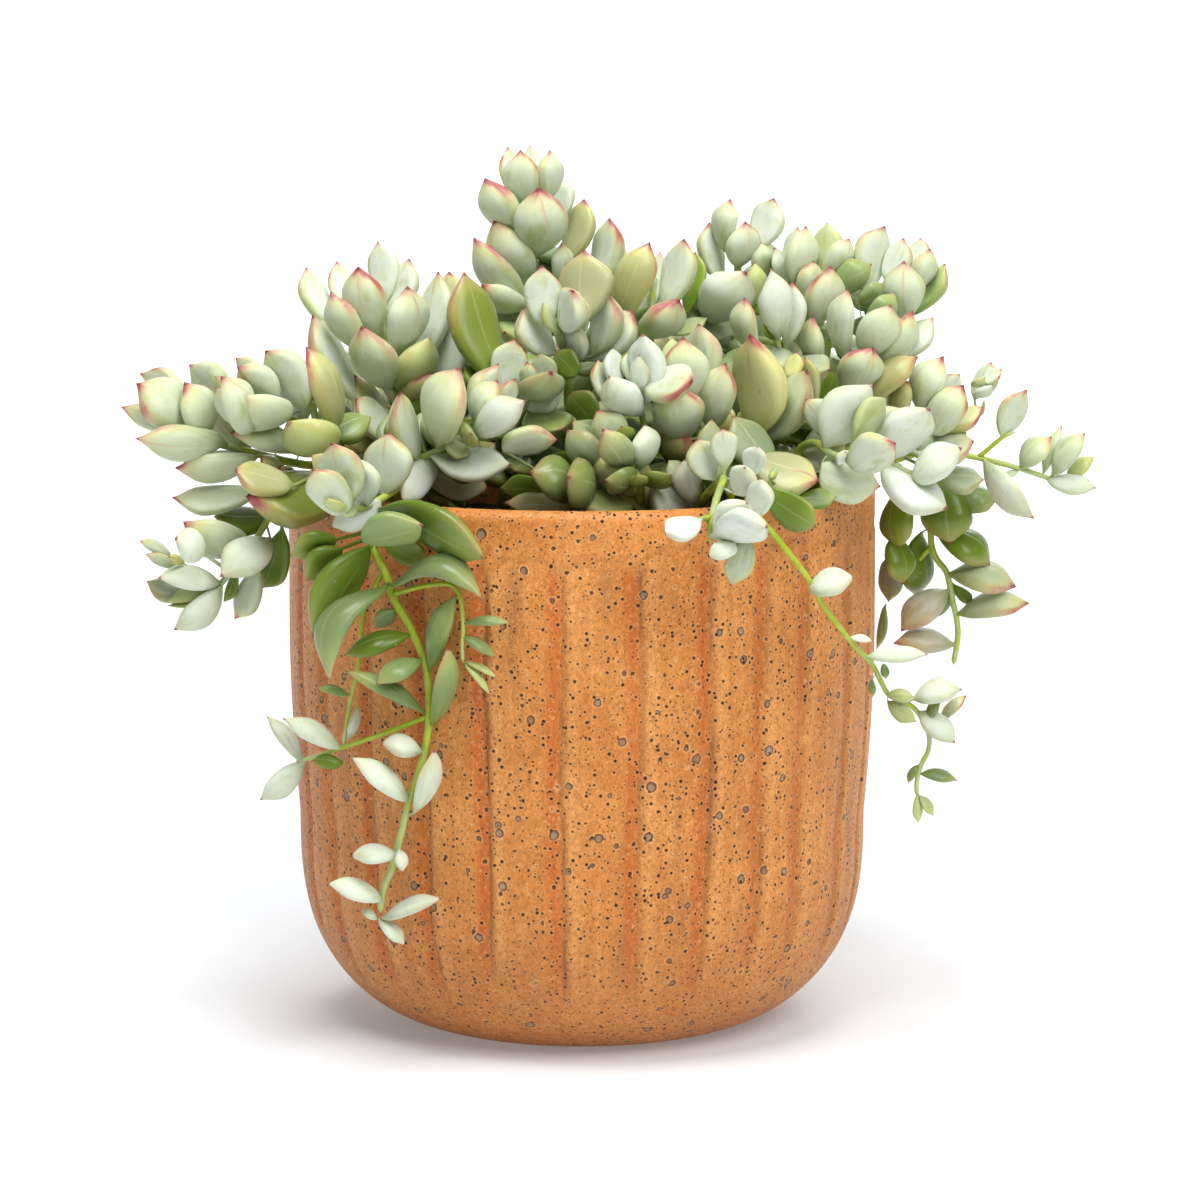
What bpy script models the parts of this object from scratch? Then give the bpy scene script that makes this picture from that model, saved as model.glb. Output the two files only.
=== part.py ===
"""Potted cotyledon: a ribbed stoneware cup, its soil and a spreading, trailing succulent.

Metres, +Z up. The origin is the middle of the pot's flat underside and -Y is the front.
Every branch is one object: a stem that starts on the soil with its leaves grown onto it.
Front branches follow a layout sheet drawn as the plant is seen from straight in front;
side and back branches follow a rule that fills the crown all the way round.
"""

import math

import bmesh
import bpy
import numpy as np
from mathutils import Vector
from mathutils.bvhtree import BVHTree

# ---- driving dimensions, millimetres ----
POT_H = 129.9  # height of the cup
POT_R = 70.0  # outer radius at the rim
BELLY_R = 67.9  # outer radius where the rounded bottom starts
BELLY_Z = 49.8
FOOT_R = 37.5  # radius of the flat underside
WALL = 5.6
FLOOR_Z = 8.5  # inside bottom of the cup
SOIL_Z = 117.0  # top of the soil
RIBS = 26
GROOVE = 0.75  # depth of the grooves between the ribs
GAP = 0.3  # clearance between neighbouring pieces
ROOT_GAP = 0.9  # from the soil to the middle of a stem's lower end, which is cut at a slant

# ---- the layout sheet: 1200 units square, seen from a point 1 m in front ----
EYE = np.array([4.32, -1000.0, 243.9])
PITCH = math.radians(8.18)
REACH = 4207.0
UNIT = 0.2377  # millimetres for one sheet unit beside the pot's axis

# Each branch: "root x y", then "stem half-width" lines of sheet points with their depth
# (y in mm, negative to the front; "m" points are plain x y z), then its leaves:
# tip, foot, width, lean towards the front in degrees, tint and an optional sideways bend.
# Tints: f frosted, w white-frosted, m mid green, g glossy green, l lime, y amber, o olive
# with a red edge, k dark olive, s shaded grey-green, p pinkish grey.
SHEET = """
branch left_arm
root -38 -9
stem 5 345,470,-17 300,464,-26 250,452,-32 205,440,-33 170,428,-33
121 407 187 432 24 5 f
140 373 181 400 26 -25 f
137 383 179 424 44 20 f
190 364 222 400 36 -20 f
184 382 205 436 36 20 f
134 438 219 441 34 25 f
204 400 240 450 30 5 o
231 432 290 445 27 30 f
227 422 262 430 18 10 f
175 468 248 460 28 15 f
181 462 240 455 20 0 s
172 498 240 494 28 10 f
183 522 238 545 38 25 f
branch left_crown
root -40 2
stem 5 325,440,-18 282,415,-32 250,398,-38
215 387 240 420 26 10 f
222 376 245 425 32 20 f
237 367 272 395 30 20 f
236 358 262 385 20 -10 f
234 398 283 416 42 45 f
265 351 300 395 36 10 f
281 374 300 417 33 25 f
215 376 238 395 14 0 o
branch left_shoulder
root -47 -18
stem 5 332,463,-28 318,430,-34 312,400,-34
295 360 312 388 22 -5 y
307 346 335 420 30 5 o
287 423 330 440 42 40 l
235 470 284 484 28 25 o
246 498 326 489 56 35 k
278 468 300 490 27 20 o
261 455 285 478 22 10 o
214 516 262 520 42 15 g
branch left_lower
root -42 -28
stem 4 335,474,-33 285,498,-37 255,540,-39 218,585,-39 196,580,-39
220 577 268 542 42 30 w
175 538 202 553 34 40 w
140 541 166 554 12 0 f
145 554 175 565 12 10 f
168 556 182 562 10 30 y
158 578 218 583 28 20 w
147 582 190 592 26 -10 s
165 602 215 589 14 10 l
168 607 213 592 10 0 l
175 631 219 591 28 15 w
234 619 254 580 26 -5 f
262 588 280 546 30 -20 g
224 602 236 575 12 -20 g
branch crown_left
root -30 4
stem 5 400,430,-12 398,392,-13 388,350,-15 378,305,-17
305 268 328 319 28 -15 f
336 262 348 305 24 -25 f
358 267 372 328 42 25 f
378 241 385 290 29 -10 f
410 259 392 305 28 -5 f
331 291 358 339 30 15 f
407 286 401 344 38 20 f
312 315 352 386 34 10 f
362 325 385 381 43 35 f
440 272 425 345 32 -10 f
450 272 443 315 26 -30 o
430 336 400 383 38 25 l
461 313 444 375 36 0 f
433 374 405 398 22 30 o
353 375 388 430 34 15 o
356 398 392 434 30 25 f
334 419 385 440 32 20 y
branch mid_left
root -28 -30
stem 4 405,472,-40 418,459,-43 437,451,-45 463,436,-47 490,423,-48
450 397 440 441 27 -10 w
461 367 440 438 46 20 f
497 363 480 420 34 -15 f
497 380 478 420 36 10 f
515 378 500 415 20 0 f
526 400 482 430 34 30 w
512 465 438 456 32 20 w
401 501 434 462 33 30 w
470 455 448 440 20 10 l
488 489 430 475 35 5 f
399 392 419 457 29 30 f
branch front_left
root -40 -34
stem 4.5 405,480,-44 393,491,-53 362,509,-62 347,502,-68
332 442 350 498 42 10 f
388 432 384 492 48 5 f
312 469 342 508 38 25 f
311 455 335 475 20 -20 o
357 458 366 500 26 30 w
331 527 380 503 34 20 w
326 498 344 508 13 50 l
340 487 347 506 16 50 l
341 512 354 508 11 50 l
branch strand_left
root -38 -40
stem 4.3 388,486,-47 374,520,-57 373,547,-60 383,566,-61 393,597,-62 409,625,-63 424,659,-64 428,681,-64 429,720,-65 423,757,-65 409,802,-65 397,850,-64 389,878,-63 383,889,-62 380,922,-61
stem 2.8 426,717,-64.5 385,733,-62 344,747,-56 301,761,-48
stem 2.6 384,570,-61 369,597,-58 362,620,-57 359,662,-57 352,692,-56 343,746,-55.5
stem 2.6 393,594,-62 430,585,-66 456,588,-70 463,622,-71 462,655,-71 465,668,-71
423 525 365 540 40 25 m
484 560 390 512 46 30 g
313 638 369 547 45 10 g
290 555 335 540 30 0 g
306 580 340 550 34 0 g
428 566 388 545 26 -5 g
484 603 396 587 28 28 m 24
329 683 383 591 34 20 m -20
343 655 406 636 22 5 g
376 684 418 662 24 25 m
344 671 423 712 18 5 m
447 646 435 719 26 20 m
456 593 432 663 24 15 m
375 628 394 611 18 -10 m
381 744 419 751 24 15 w
352 756 406 800 24 10 w
434 749 417 808 24 20 w
351 857 394 855 22 15 w
402 872 399 850 14 20 w
327 884 379 899 24 15 w
442 899 385 919 20 10 w
405 945 380 922 16 5 w
361 909 376 919 10 0 w
283 718 336 747 23 10 w
267 716 301 760 17 5 w
260 800 303 764 26 5 w
312 760 342 764 16 0 g
317 688 347 695 10 5 m
357 706 349 738 11 0 w
510 622 464 624 11 5 m
495 657 463 637 14 5 m
496 678 465 662 8 5 l
490 695 465 665 8 5 l
branch spike
root -8 14
stem 5 528,345,8 530,305,8 534,265,7 530,225,6 527,190,5
508 146 515 191 20 -10 f
520 150 525 198 34 15 f
530 144 530 185 20 -20 f
550 150 548 190 22 5 f
485 178 515 226 34 10 f
510 188 520 210 20 -20 s
539 188 537 250 49 30 f
555 177 560 212 30 -15 f
584 199 570 250 30 -5 o
493 221 530 275 36 20 f
473 238 522 300 32 10 f
609 218 600 275 32 0 f
562 243 560 275 40 10 f
481 285 522 305 26 25 f
485 312 520 315 20 0 s
625 246 612 275 12 -10 l
branch centre
root -4 -4
stem 5 568,400,-14 566,365,-19 560,335,-26 557,318,-30
585 249 580 312 56 -10 o
542 265 545 322 37 5 f
573 290 562 326 40 35 f
580 294 572 326 24 20 f
543 303 560 333 14 30 l
570 320 568 362 45 30 w
523 307 545 348 34 15 f
607 293 600 342 34 10 f
634 312 600 349 40 10 f
branch inner_left
root -16 -22
stem 5 530,440,-26 528,410,-29 527,385,-31
464 272 490 362 45 -10 k
465 365 485 385 22 -10 g
515 338 505 385 34 5 f
527 361 528 384 18 35 f
539 353 548 388 26 0 s
560 382 530 411 24 25 w
570 392 592 420 34 -10 g
555 350 575 372 30 -10 g
branch back_middle
root 10 2
stem 5 652,380,-6 650,340,-8 652,300,-9 655,275,-9
650 242 625 305 38 5 o
660 251 652 300 22 -15 f
685 239 668 298 33 0 f
679 299 646 332 48 30 f
695 252 690 300 22 -20 g
708 318 675 330 14 -5 l
branch crown_middle
root 22 12
stem 5 738,330,4 738,290,4 738,255,3 742,225,2
731 199 725 240 26 5 f
774 198 757 240 31 0 f
710 222 716 269 26 0 f
746 222 738 262 32 25 f
764 239 762 273 27 10 f
775 247 783 285 19 10 w
755 262 755 300 20 15 l
746 272 712 308 48 35 w
738 335 702 338 24 -15 s
branch bud_middle
root 36 -4
stem 4 792,410,-12 786,370,-15 775,335,-17 772,305,-18
772 269 778 331 30 20 w
765 285 772 328 18 10 f
791 281 788 337 24 0 f
744 298 750 342 24 15 f
765 320 780 340 14 0 g
795 340 788 372 20 -15 s
branch amber
root 30 -14
stem 5 765,460,-26 760,435,-30 757,415,-32
752 333 755 433 50 15 y
809 370 764 440 36 20 f
805 356 812 400 16 -5 o
797 352 790 375 24 -10 y
726 362 712 418 36 25 f
739 417 750 448 24 30 f
branch centre_right
root 16 -22
stem 5 700,455,-32 695,420,-36 690,385,-38
700 323 700 385 36 5 f
683 337 683 397 46 20 f
675 386 680 428 50 35 f
676 414 680 459 50 40 o
672 337 675 370 20 -10 l
725 404 722 428 20 20 y
branch buds
root 8 -26
stem 4 650,455,-40 643,422,-44 639,395,-46 640,372,-47
597 359 605 395 16 0 f
609 375 634 408 34 25 w
612 348 618 380 20 5 w
629 350 632 380 16 -5 f
639 354 640 391 19 30 w
642 334 645 395 32 10 w
branch pocket_right
root 12 -40
stem 5 641,490,-48 630,460,-48 620,440,-47
645 424 643 459 27 20 w
622 450 648 508 38 15 y
597 409 625 448 38 0 f
567 430 600 460 30 5 s
600 452 615 485 28 5 o
branch pocket_front
root 10 -41
stem 5 626,498,-44 602,495,-46 572,496,-47
563 482 631 503 38 10 l
550 474 600 498 28 -10 g
503 503 568 506 24 -5 o
558 440 506 446 27 5 f
500 488 545 490 26 -20 g
545 462 590 470 24 -25 g
branch front_right
root 24 -42
stem 4.5 722,478,-61 716,500,-74 711,520,-82
stem 4 711,516,-81 711,544,-84
stem 3.6 712,518,-81 697,519,-84
686 458 695 495 40 20 w
745 467 740 490 28 40 w
757 446 752 470 30 20 w
761 478 755 512 28 10 w
748 502 722 530 44 30 w
768 527 725 532 38 35 w
650 483 690 510 44 20 w
664 532 694 522 43 30 w
722 428 725 458 40 5 f
697 439 710 475 34 15 f
709 558 733 548 19 20 w
730 586 745 545 28 5 f
730 545 715 528 10 10 g
668 460 684 478 18 -10 f
branch rim_right
root 34 -36
stem 5 775,470,-50 768,482,-60
819 480 760 462 58 20 o
816 527 775 500 34 10 g
836 497 805 500 20 -10 g
branch strand_right
root 33 -44
stem 3.2 738,480,-63 752,510,-72 770,530,-74 810,581,-71 822,604,-69 851,642,-61 873,666,-55 888,694,-51 905,703,-49 918,712,-48 930,742,-47 918,773,-47 917,797,-47
854 577 810 590 30 10 w
873 641 851 638 9 0 w
928 654 868 657 17 10 w
914 697 888 695 14 20 l
916 722 889 703 18 15 l
962 689 917 698 26 10 w
966 695 942 720 14 -5 f
940 703 928 716 18 20 m
955 743 920 712 26 15 w
908 783 917 766 9 5 m
958 780 921 774 14 5 m
918 823 917 797 11 5 l
934 816 920 797 11 5 l
886 679 884 664 9 -10 m
873 697 872 680 8 0 m
branch right_front
root 42 -26
stem 5 805,445,-36 832,455,-45 850,458,-50
843 428 800 462 54 25 f
872 384 825 445 50 5 w
806 399 830 430 30 -10 f
896 442 855 466 44 20 f
881 487 825 475 44 5 f
846 452 842 462 12 50 w
885 398 862 430 30 -20 l
branch right_arm
root 46 -18
stem 4.5 860,460,-38 891,465,-44 919,477,-46 935,478,-46
930 409 893 452 38 15 w
905 408 868 440 30 -5 f
947 510 888 473 38 20 w
962 448 918 480 34 10 w
942 474 921 478 12 20 l
branch right_crown
root 40 4
stem 5 815,380,-8 817,340,-7 815,300,-5 808,265,-3
814 315 812 372 28 25 f
831 265 815 323 37 20 f
814 261 803 296 27 0 f
806 226 795 280 31 0 f
798 227 790 260 28 -10 f
827 222 822 262 30 -10 l
850 239 830 268 35 0 f
828 320 822 370 16 -15 g
branch right_top
root 46 0
stem 5 850,400,-14 858,365,-14 868,335,-13
849 288 842 344 27 15 f
873 347 852 382 46 30 f
891 305 870 348 40 25 f
895 293 872 318 36 5 m
912 310 885 360 30 5 f
933 317 900 352 26 -5 f
882 283 862 300 30 -5 m
835 372 825 400 20 -20 g
branch right_back
root 44 10
stem 5 878,360,-2 885,320,-4 893,290,-4 898,265,-4
872 264 838 286 30 5 m
885 226 866 279 34 -10 f
904 238 888 280 27 -5 f
921 238 915 262 19 -15 f
931 249 915 283 27 5 f
946 264 918 304 24 0 m
904 261 900 314 42 20 f
branch right_middle
root 48 -6
stem 5 880,440,-16 905,425,-18 925,410,-18
918 356 872 395 28 10 o
908 381 898 412 30 5 o
943 356 920 407 34 0 f
963 385 935 428 36 15 f
960 374 945 395 20 -10 f
974 442 925 450 34 5 f
984 408 940 425 22 0 o
965 425 950 440 24 -10 o
905 352 880 385 26 -15 s
933 435 920 450 16 10 s
984 480 945 475 26 0 s
branch right_far
root 50 4
stem 3.6 925,452,-8 973,457,-9 1018,468,-10 1052,479,-10 1067,480,-10
stem 2.6 979,457,-9 1003,437,-12 1016,432,-12
stem 2.4 930,452,-8 962,425,-8 982,413,-9 984,400,-9 979,390,-9
1027 389 1002 436 28 5 f
1052 437 1022 466 30 5 f
1062 425 1045 470 14 -10 f
1085 433 1055 472 24 10 f
1094 457 1068 478 16 5 l
1096 488 1050 482 22 10 w
1034 519 985 462 28 15 w
1003 479 1018 471 8 0 f
991 362 975 397 24 -5 f
1002 369 982 382 14 5 f
985 377 972 386 10 30 l
993 385 975 396 12 30 w
branch right_hanging
root 52 10
stem 4 m58,8,134 m68,5,135 905,482,2 928,520,2 933,553,2 946,571,2 953,603,2 958,632,2 952,673,2
stem 2.6 932,545,2 915,565,4 899,587,4 884,608,4
898 548 900 500 46 10 g
950 544 945 490 52 15 g
990 566 945 535 50 5 g
997 500 960 505 34 0 m
903 584 895 545 33 10 g
915 596 915 548 32 -10 g
888 602 888 565 22 -5 s
1016 586 956 575 34 5 f
1029 602 964 613 26 5 f
901 631 945 592 28 10 p
893 644 950 645 24 5 p
932 618 948 600 16 -10 g
970 605 958 590 18 -10 g
876 650 884 608 9 0 m
"""

# The crown's skyline on the sheet (x, highest y); back branches stay under it.
SKYLINE = [(300, 330), (330, 300), (400, 285), (455, 320), (480, 300), (520, 190), (545, 200), (590, 250), (640, 285), (700, 270), (760, 245), (800, 262), (850, 262), (900, 275), (930, 345)]

# Back branches: root x y, then the point where the crown of leaves ends, its height and
# the number of leaf pairs along it.
BACK = [
    (-46, 20, -78, 34, 152, 5),
    (-36, 34, -58, 66, 150, 5),
    (-20, 42, -30, 84, 146, 5),
    (2, 46, 2, 92, 148, 5),
    (22, 42, 34, 86, 150, 5),
    (38, 34, 62, 64, 152, 5),
    (48, 20, 80, 36, 148, 5),
    (-12, 26, -24, 44, 172, 6),
    (14, 26, 12, 48, 176, 6),
    (36, 20, 44, 34, 172, 6),
    (-30, 20, -44, 30, 168, 5),
    (-48, 34, -70, 52, 138, 5),
    (9, 54, 8, 98, 138, 5),
    (33, 47, 50, 76, 136, 5),
    (0, 34, -6, 60, 164, 5),
    (26, 30, 30, 52, 166, 5),
]
# Trailing shoots behind the pot: root x y, then the way down outside the wall.
TRAIL = [
    (-30, 48, [(-40, 58, 136), (-48, 68, 124), (-50, 66, 96), (-46, 66, 70)]),
    (12, 52, [(18, 62, 136), (22, 78, 126), (24, 78, 100), (20, 76, 66), (24, 74, 44)]),
    (42, 40, [(50, 50, 136), (58, 58, 124), (58, 56, 98), (52, 60, 78)]),
]

THICK = 0.46  # leaf thickness over its width


def on_sheet(px, py, depth):
    """The point that stands at px, py on the sheet, at the given depth."""
    across, up = (px - 600) / REACH, (600 - py) / REACH
    far = (depth - EYE[1]) / (math.cos(PITCH) + up * math.sin(PITCH))
    return EYE + far * np.array(
        [across, math.cos(PITCH) + up * math.sin(PITCH), up * math.cos(PITCH) - math.sin(PITCH)]
    )


def to_sheet(p):
    d = np.asarray(p, float) - EYE
    far = d[1] * math.cos(PITCH) - d[2] * math.sin(PITCH)
    up = d[1] * math.sin(PITCH) + d[2] * math.cos(PITCH)
    return 600 + REACH * d[0] / far, 600 - REACH * up / far


def unit(v):
    n = np.linalg.norm(v)
    return v / n if n > 1e-9 else v


def outer_r(z):
    """Outer radius of the cup at height z, over the ribs."""
    z = np.asarray(z, float)
    s = np.clip((BELLY_Z - z) / BELLY_Z, 0, 1)
    low = FOOT_R + (BELLY_R - FOOT_R) * (1 - s**2.79) ** (1 / 1.62)
    t = np.clip((z - BELLY_Z) / (0.78 * POT_H - BELLY_Z), 0, 1)
    return np.where(z < BELLY_Z, low, BELLY_R + (POT_R - BELLY_R) * t * (2 - t))


def smooth(points, step):
    """Points every step along a smooth curve through the given ones."""
    p = [np.asarray(q, float) for q in points]
    p = [2 * p[0] - p[1], *p, 2 * p[-1] - p[-2]]
    out = []
    for a, b, c, d in zip(p, p[1:], p[2:], p[3:]):
        n = max(1, int(round(np.linalg.norm(c - b) / step)))
        for k in range(n):
            t = k / n
            out.append(
                0.5 * (2 * b + (c - a) * t + (2 * a - 5 * b + 4 * c - d) * t * t + (3 * b - a - 3 * c + d) * t**3)
            )
    out.append(p[-2])
    return np.array(out)


def spot(text):
    if text[0] == "m":
        return np.array([float(v) for v in text[1:].split(",")])
    px, py, depth = (float(v) for v in text.split(","))
    return on_sheet(px, py, depth)


def read_sheet():
    """[name, [(half-width, points)], [leaf rows]] of each front branch."""
    found = []
    for line in SHEET.strip().splitlines():
        word = line.split()
        if word[0] == "branch":
            found.append([word[1], [], []])
        elif word[0] == "root":
            root = np.array([float(word[1]), float(word[2]), SOIL_Z + ROOT_GAP])
        elif word[0] == "stem":
            points = [spot(w) for w in word[2:]]
            if not found[-1][1]:
                rise = root + np.array([0, 0, 6.0])
                points = [root, rise, *points]
            found[-1][1].append((float(word[1]) * UNIT, points))
        else:
            found[-1][2].append(word)
    return found


def nearest(stems, p, flat=None):
    """The stem point nearest to p, or nearest on the sheet to flat, and the way it grows there."""
    best = None
    for radius, line in stems:
        if flat is None:
            d = np.linalg.norm(line - p, axis=1)
        else:
            d = np.array([math.dist(to_sheet(q), flat) for q in line])
        k = int(d.argmin())
        if best is None or d[k] < best[0]:
            ahead = line[min(k + 1, len(line) - 1)] - line[max(k - 1, 0)]
            best = (d[k], line[k], unit(ahead), radius)
    return best[1:]


class Leaf:
    def __init__(self, branch, foot, tip, width, tint, grow, joint, bend=0.0, wide_limit=50.0):
        self.branch, self.tint, self.bend = branch, tint, bend
        self.foot, self.tip, self.joint = foot, tip, joint
        self.plain = False
        self.stalked = False
        axis = tip - foot
        self.length = float(np.linalg.norm(axis))
        a = axis / self.length
        eye = unit(EYE - (foot + tip) / 2)
        front = unit(eye - a * float(eye @ a))
        side = np.cross(front, a)
        middle = (foot + tip) / 2
        inward = joint + grow * float((middle - joint) @ grow) - middle
        n = 0.9 * (grow - a * float(grow @ a)) + 0.08 * (inward - a * float(inward @ a))
        n = unit(n) if np.linalg.norm(n) > 1e-6 else front
        turn = math.degrees(math.atan2(float(n @ side), float(n @ front)))
        if branch >= 0 and abs(turn) < 90:
            turn = max(-wide_limit, min(wide_limit, turn))
        elif branch >= 0:
            away = math.copysign(180 - abs(turn), turn)
            turn = math.copysign(180 - min(abs(away), wide_limit), turn)
        turn = math.radians(turn)
        self.normal = front * math.cos(turn) + side * math.sin(turn)
        self.lateral = side
        share = math.sqrt(math.cos(turn) ** 2 + (THICK * math.sin(turn)) ** 2)
        self.width = min(width / share, 0.9 * self.length, 17.0)

    def centre(self, t):
        bow = -0.06 * self.length * self.normal + self.bend * self.lateral
        return self.foot + (self.tip - self.foot) * t + 4 * t * (1 - t) * bow

    def balls(self):
        """Centres and radii of balls that fill the leaf."""
        a = unit(self.tip - self.foot)
        across = np.cross(self.normal, a)
        c, r = [], []
        for t, f in ((0.16, 0.6), (0.36, 0.92), (0.56, 1.0), (0.74, 0.86), (0.9, 0.5)):
            half = self.width / 2 * f
            thick = self.width * THICK / 2 * f
            for s in (-0.55, 0.0, 0.55):
                c.append(self.centre(t) + across * half * s - self.normal * 0.12 * self.width * THICK)
                r.append(thick * (0.98 if s == 0 else 0.8))
        return np.array(c), np.array(r)

    def move(self, v):
        self.foot = self.foot + v
        self.tip = self.tip + v


def front_branches():
    branches, leaves = [], []
    for index, (name, stems, rows) in enumerate(read_sheet()):
        lines = [(r, smooth(p, 2.0)) for r, p in stems]
        branches.append([name, lines])
        for row in rows:
            tx, ty, bx, by, w, lean = (float(v) for v in row[:6])
            bend = float(row[7]) * UNIT if len(row) > 7 else 0.0
            joint, grow, radius = nearest(lines, None, (bx, by))
            jx, jy = to_sheet(joint)
            rise = math.tan(math.radians(lean))
            reach = math.dist((bx, by), (jx, jy)) * UNIT
            depth = joint[1] - min(reach, 9.0) * rise - math.copysign(radius, lean) * min(1, abs(lean) / 15)
            foot = on_sheet(bx, by, depth)
            tip = on_sheet(tx, ty, depth - math.dist((tx, ty), (bx, by)) * UNIT * rise)
            scale = (foot[1] - EYE[1]) / 1000.0
            leaves.append(Leaf(index, foot, tip, w * UNIT * scale, row[6], grow, joint, bend * scale))
            leaves[-1].stalked = name.startswith("strand") and w > 12
    return branches, leaves


def grown_pairs(index, line, radius, pairs, length, rng, start, trail):
    """Opposite leaves along a stem, each pair turned a quarter from the last."""
    made = []
    n = len(line)
    up = np.array([0.0, 0.0, 1.0])
    for k in range(pairs):
        share = start + (1 - start) * (k + 0.5) / pairs
        at = line[min(n - 1, int(share * (n - 1)))]
        i = min(n - 2, max(1, int(share * (n - 1))))
        grow = unit(line[i + 1] - line[i - 1])
        a = unit(np.cross(grow, up) if abs(grow @ up) < 0.95 else np.cross(grow, [0, 1.0, 0]))
        b = np.cross(grow, a)
        turn = math.pi / 2 * k + rng.uniform(-0.25, 0.25) + 0.6
        size = length * (1.0 - 0.35 * (k / max(1, pairs - 1)) ** 2) * rng.uniform(0.88, 1.08)
        lift = math.radians((28 if not trail else 38) + (34 if not trail else 12) * k / max(1, pairs - 1))
        for flip in (0, math.pi):
            out = a * math.cos(turn + flip) + b * math.sin(turn + flip)
            way = unit(out * math.cos(lift) + grow * math.sin(lift) + up * (0.12 if not trail else -0.1))
            foot = at + way * (radius + 1.2)
            leaf = Leaf(-2, foot, foot + way * size, size * rng.uniform(0.46, 0.58), "w" if trail and share > 0.6 else "f", grow, at)
            leaf.branch = index
            leaf.plain = True
            made.append(leaf)
    return made


def back_branches(first):
    """The side and back of the crown, which the sheet doesn't show."""
    rng = np.random.default_rng(7)
    branches, leaves = [], []
    for k, (x, y, ex, ey, ez, pairs) in enumerate(BACK):
        root = np.array([x, y, SOIL_Z + ROOT_GAP])
        end = np.array([ex, ey, ez])
        middle = root * 0.55 + end * 0.45 + np.array([0, 0, 10.0])
        if math.hypot(ex, ey) > 60:
            middle[2] = max(middle[2], POT_H + 7)
        line = smooth([root, root + np.array([0, 0, 7.0]), middle, end], 2.0)
        branches.append([f"back_{k + 1}", [(1.25, line)]])
        for leaf in grown_pairs(first + k, line, 1.25, pairs, 14.5, rng, 0.34, False):
            px, py = to_sheet(leaf.tip)
            sky = np.interp(px, [q[0] for q in SKYLINE], [q[1] for q in SKYLINE])
            low = py > 340
            hidden = (300 < px < 930 and py > sky + 14) or (low and 318 < px < 905)
            if hidden and not (py > 505 and not 300 < px < 868):
                leaves.append(leaf)
    for k, (x, y, way) in enumerate(TRAIL):
        root = np.array([x, y, SOIL_Z + ROOT_GAP])
        line = smooth([root, root + np.array([0, 0, 8.0]), *[np.array(p, float) for p in way]], 2.0)
        branches.append([f"trail_{k + 1}", [(0.95, line)]])
        for leaf in grown_pairs(first + len(BACK) + k, line, 0.95, 6, 12.0, rng, 0.42, True):
            px, py = to_sheet(leaf.tip)
            if 300 < px < 862 or py < 480 and 318 < px < 905:
                leaves.append(leaf)
    return branches, leaves


def out_of_pot(c, r):
    """How far each ball must move outwards (or inwards) to clear the cup, and how far up for the soil."""
    rad = np.hypot(c[:, 0], c[:, 1])
    need = np.zeros(len(c))
    low = c[:, 2] - r < POT_H + 0.4
    inner = POT_R - WALL
    outside = rad > POT_R - WALL / 2
    wall = outer_r(np.clip(c[:, 2], 0, POT_H))
    need = np.where(low & outside, np.maximum(0, wall + 0.5 + r - rad), need)
    need = np.where(low & ~outside, np.minimum(0, inner - 0.5 - r - rad), need)
    lift = np.where(rad < inner, np.maximum(0, SOIL_Z + 0.5 + r - c[:, 2]), 0)
    return need, lift


def part_stems(branches, rounds=60):
    """Bends stems a little to the front or back where two branches would cross."""
    home = np.concatenate([np.full(len(line), b) for b, (_, lines) in enumerate(branches) for _, line in lines])
    thick = np.concatenate([np.full(len(line), r) for _, lines in branches for r, line in lines])
    at = np.concatenate([line for _, lines in branches for _, line in lines])
    other = home[:, None] != home[None]
    for _ in range(rounds):
        d = np.linalg.norm(at[:, None] - at[None], axis=2) - thick[:, None] - thick[None] - 0.55
        d = np.where(other, d, 1.0)
        if d.min() >= 0:
            break
        push = np.zeros(len(at))
        for a in np.argsort(d.min(axis=1)):
            b = int(d[a].argmin())
            if d[a, b] >= 0:
                break
            if a > b and d[b].argmin() == a:
                continue
            way = 1.0 if at[a, 1] >= at[b, 1] else -1.0
            step = min(0.6, -d[a, b] * 0.7 + 0.05)
            for k, sign in ((a, way), (b, -way)):
                far = np.linalg.norm(at - at[k], axis=1)
                bump = sign * step * np.exp(-((far / 9.0) ** 2)) * (home == home[k])
                push = np.where(np.abs(bump) > np.abs(push), bump, push)
        at[:, 1] += push
        # stems stay clear of the cup
        rad = np.hypot(at[:, 0], at[:, 1])
        low = at[:, 2] < POT_H + 0.8 + thick
        inside = low & (rad < POT_R - WALL / 2)
        outside = low & (rad >= POT_R - WALL / 2)
        most = POT_R - WALL - 0.8 - thick
        least = outer_r(np.clip(at[:, 2], 0, POT_H)) + 0.8 + thick
        scale = np.where(inside, np.minimum(1, most / rad), np.where(outside, np.maximum(1, least / rad), 1))
        at[:, :2] *= scale[:, None]
    k = 0
    for _, lines in branches:
        for n, (r, line) in enumerate(lines):
            lines[n] = (r, at[k : k + len(line)].copy())
            k += len(line)


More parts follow.
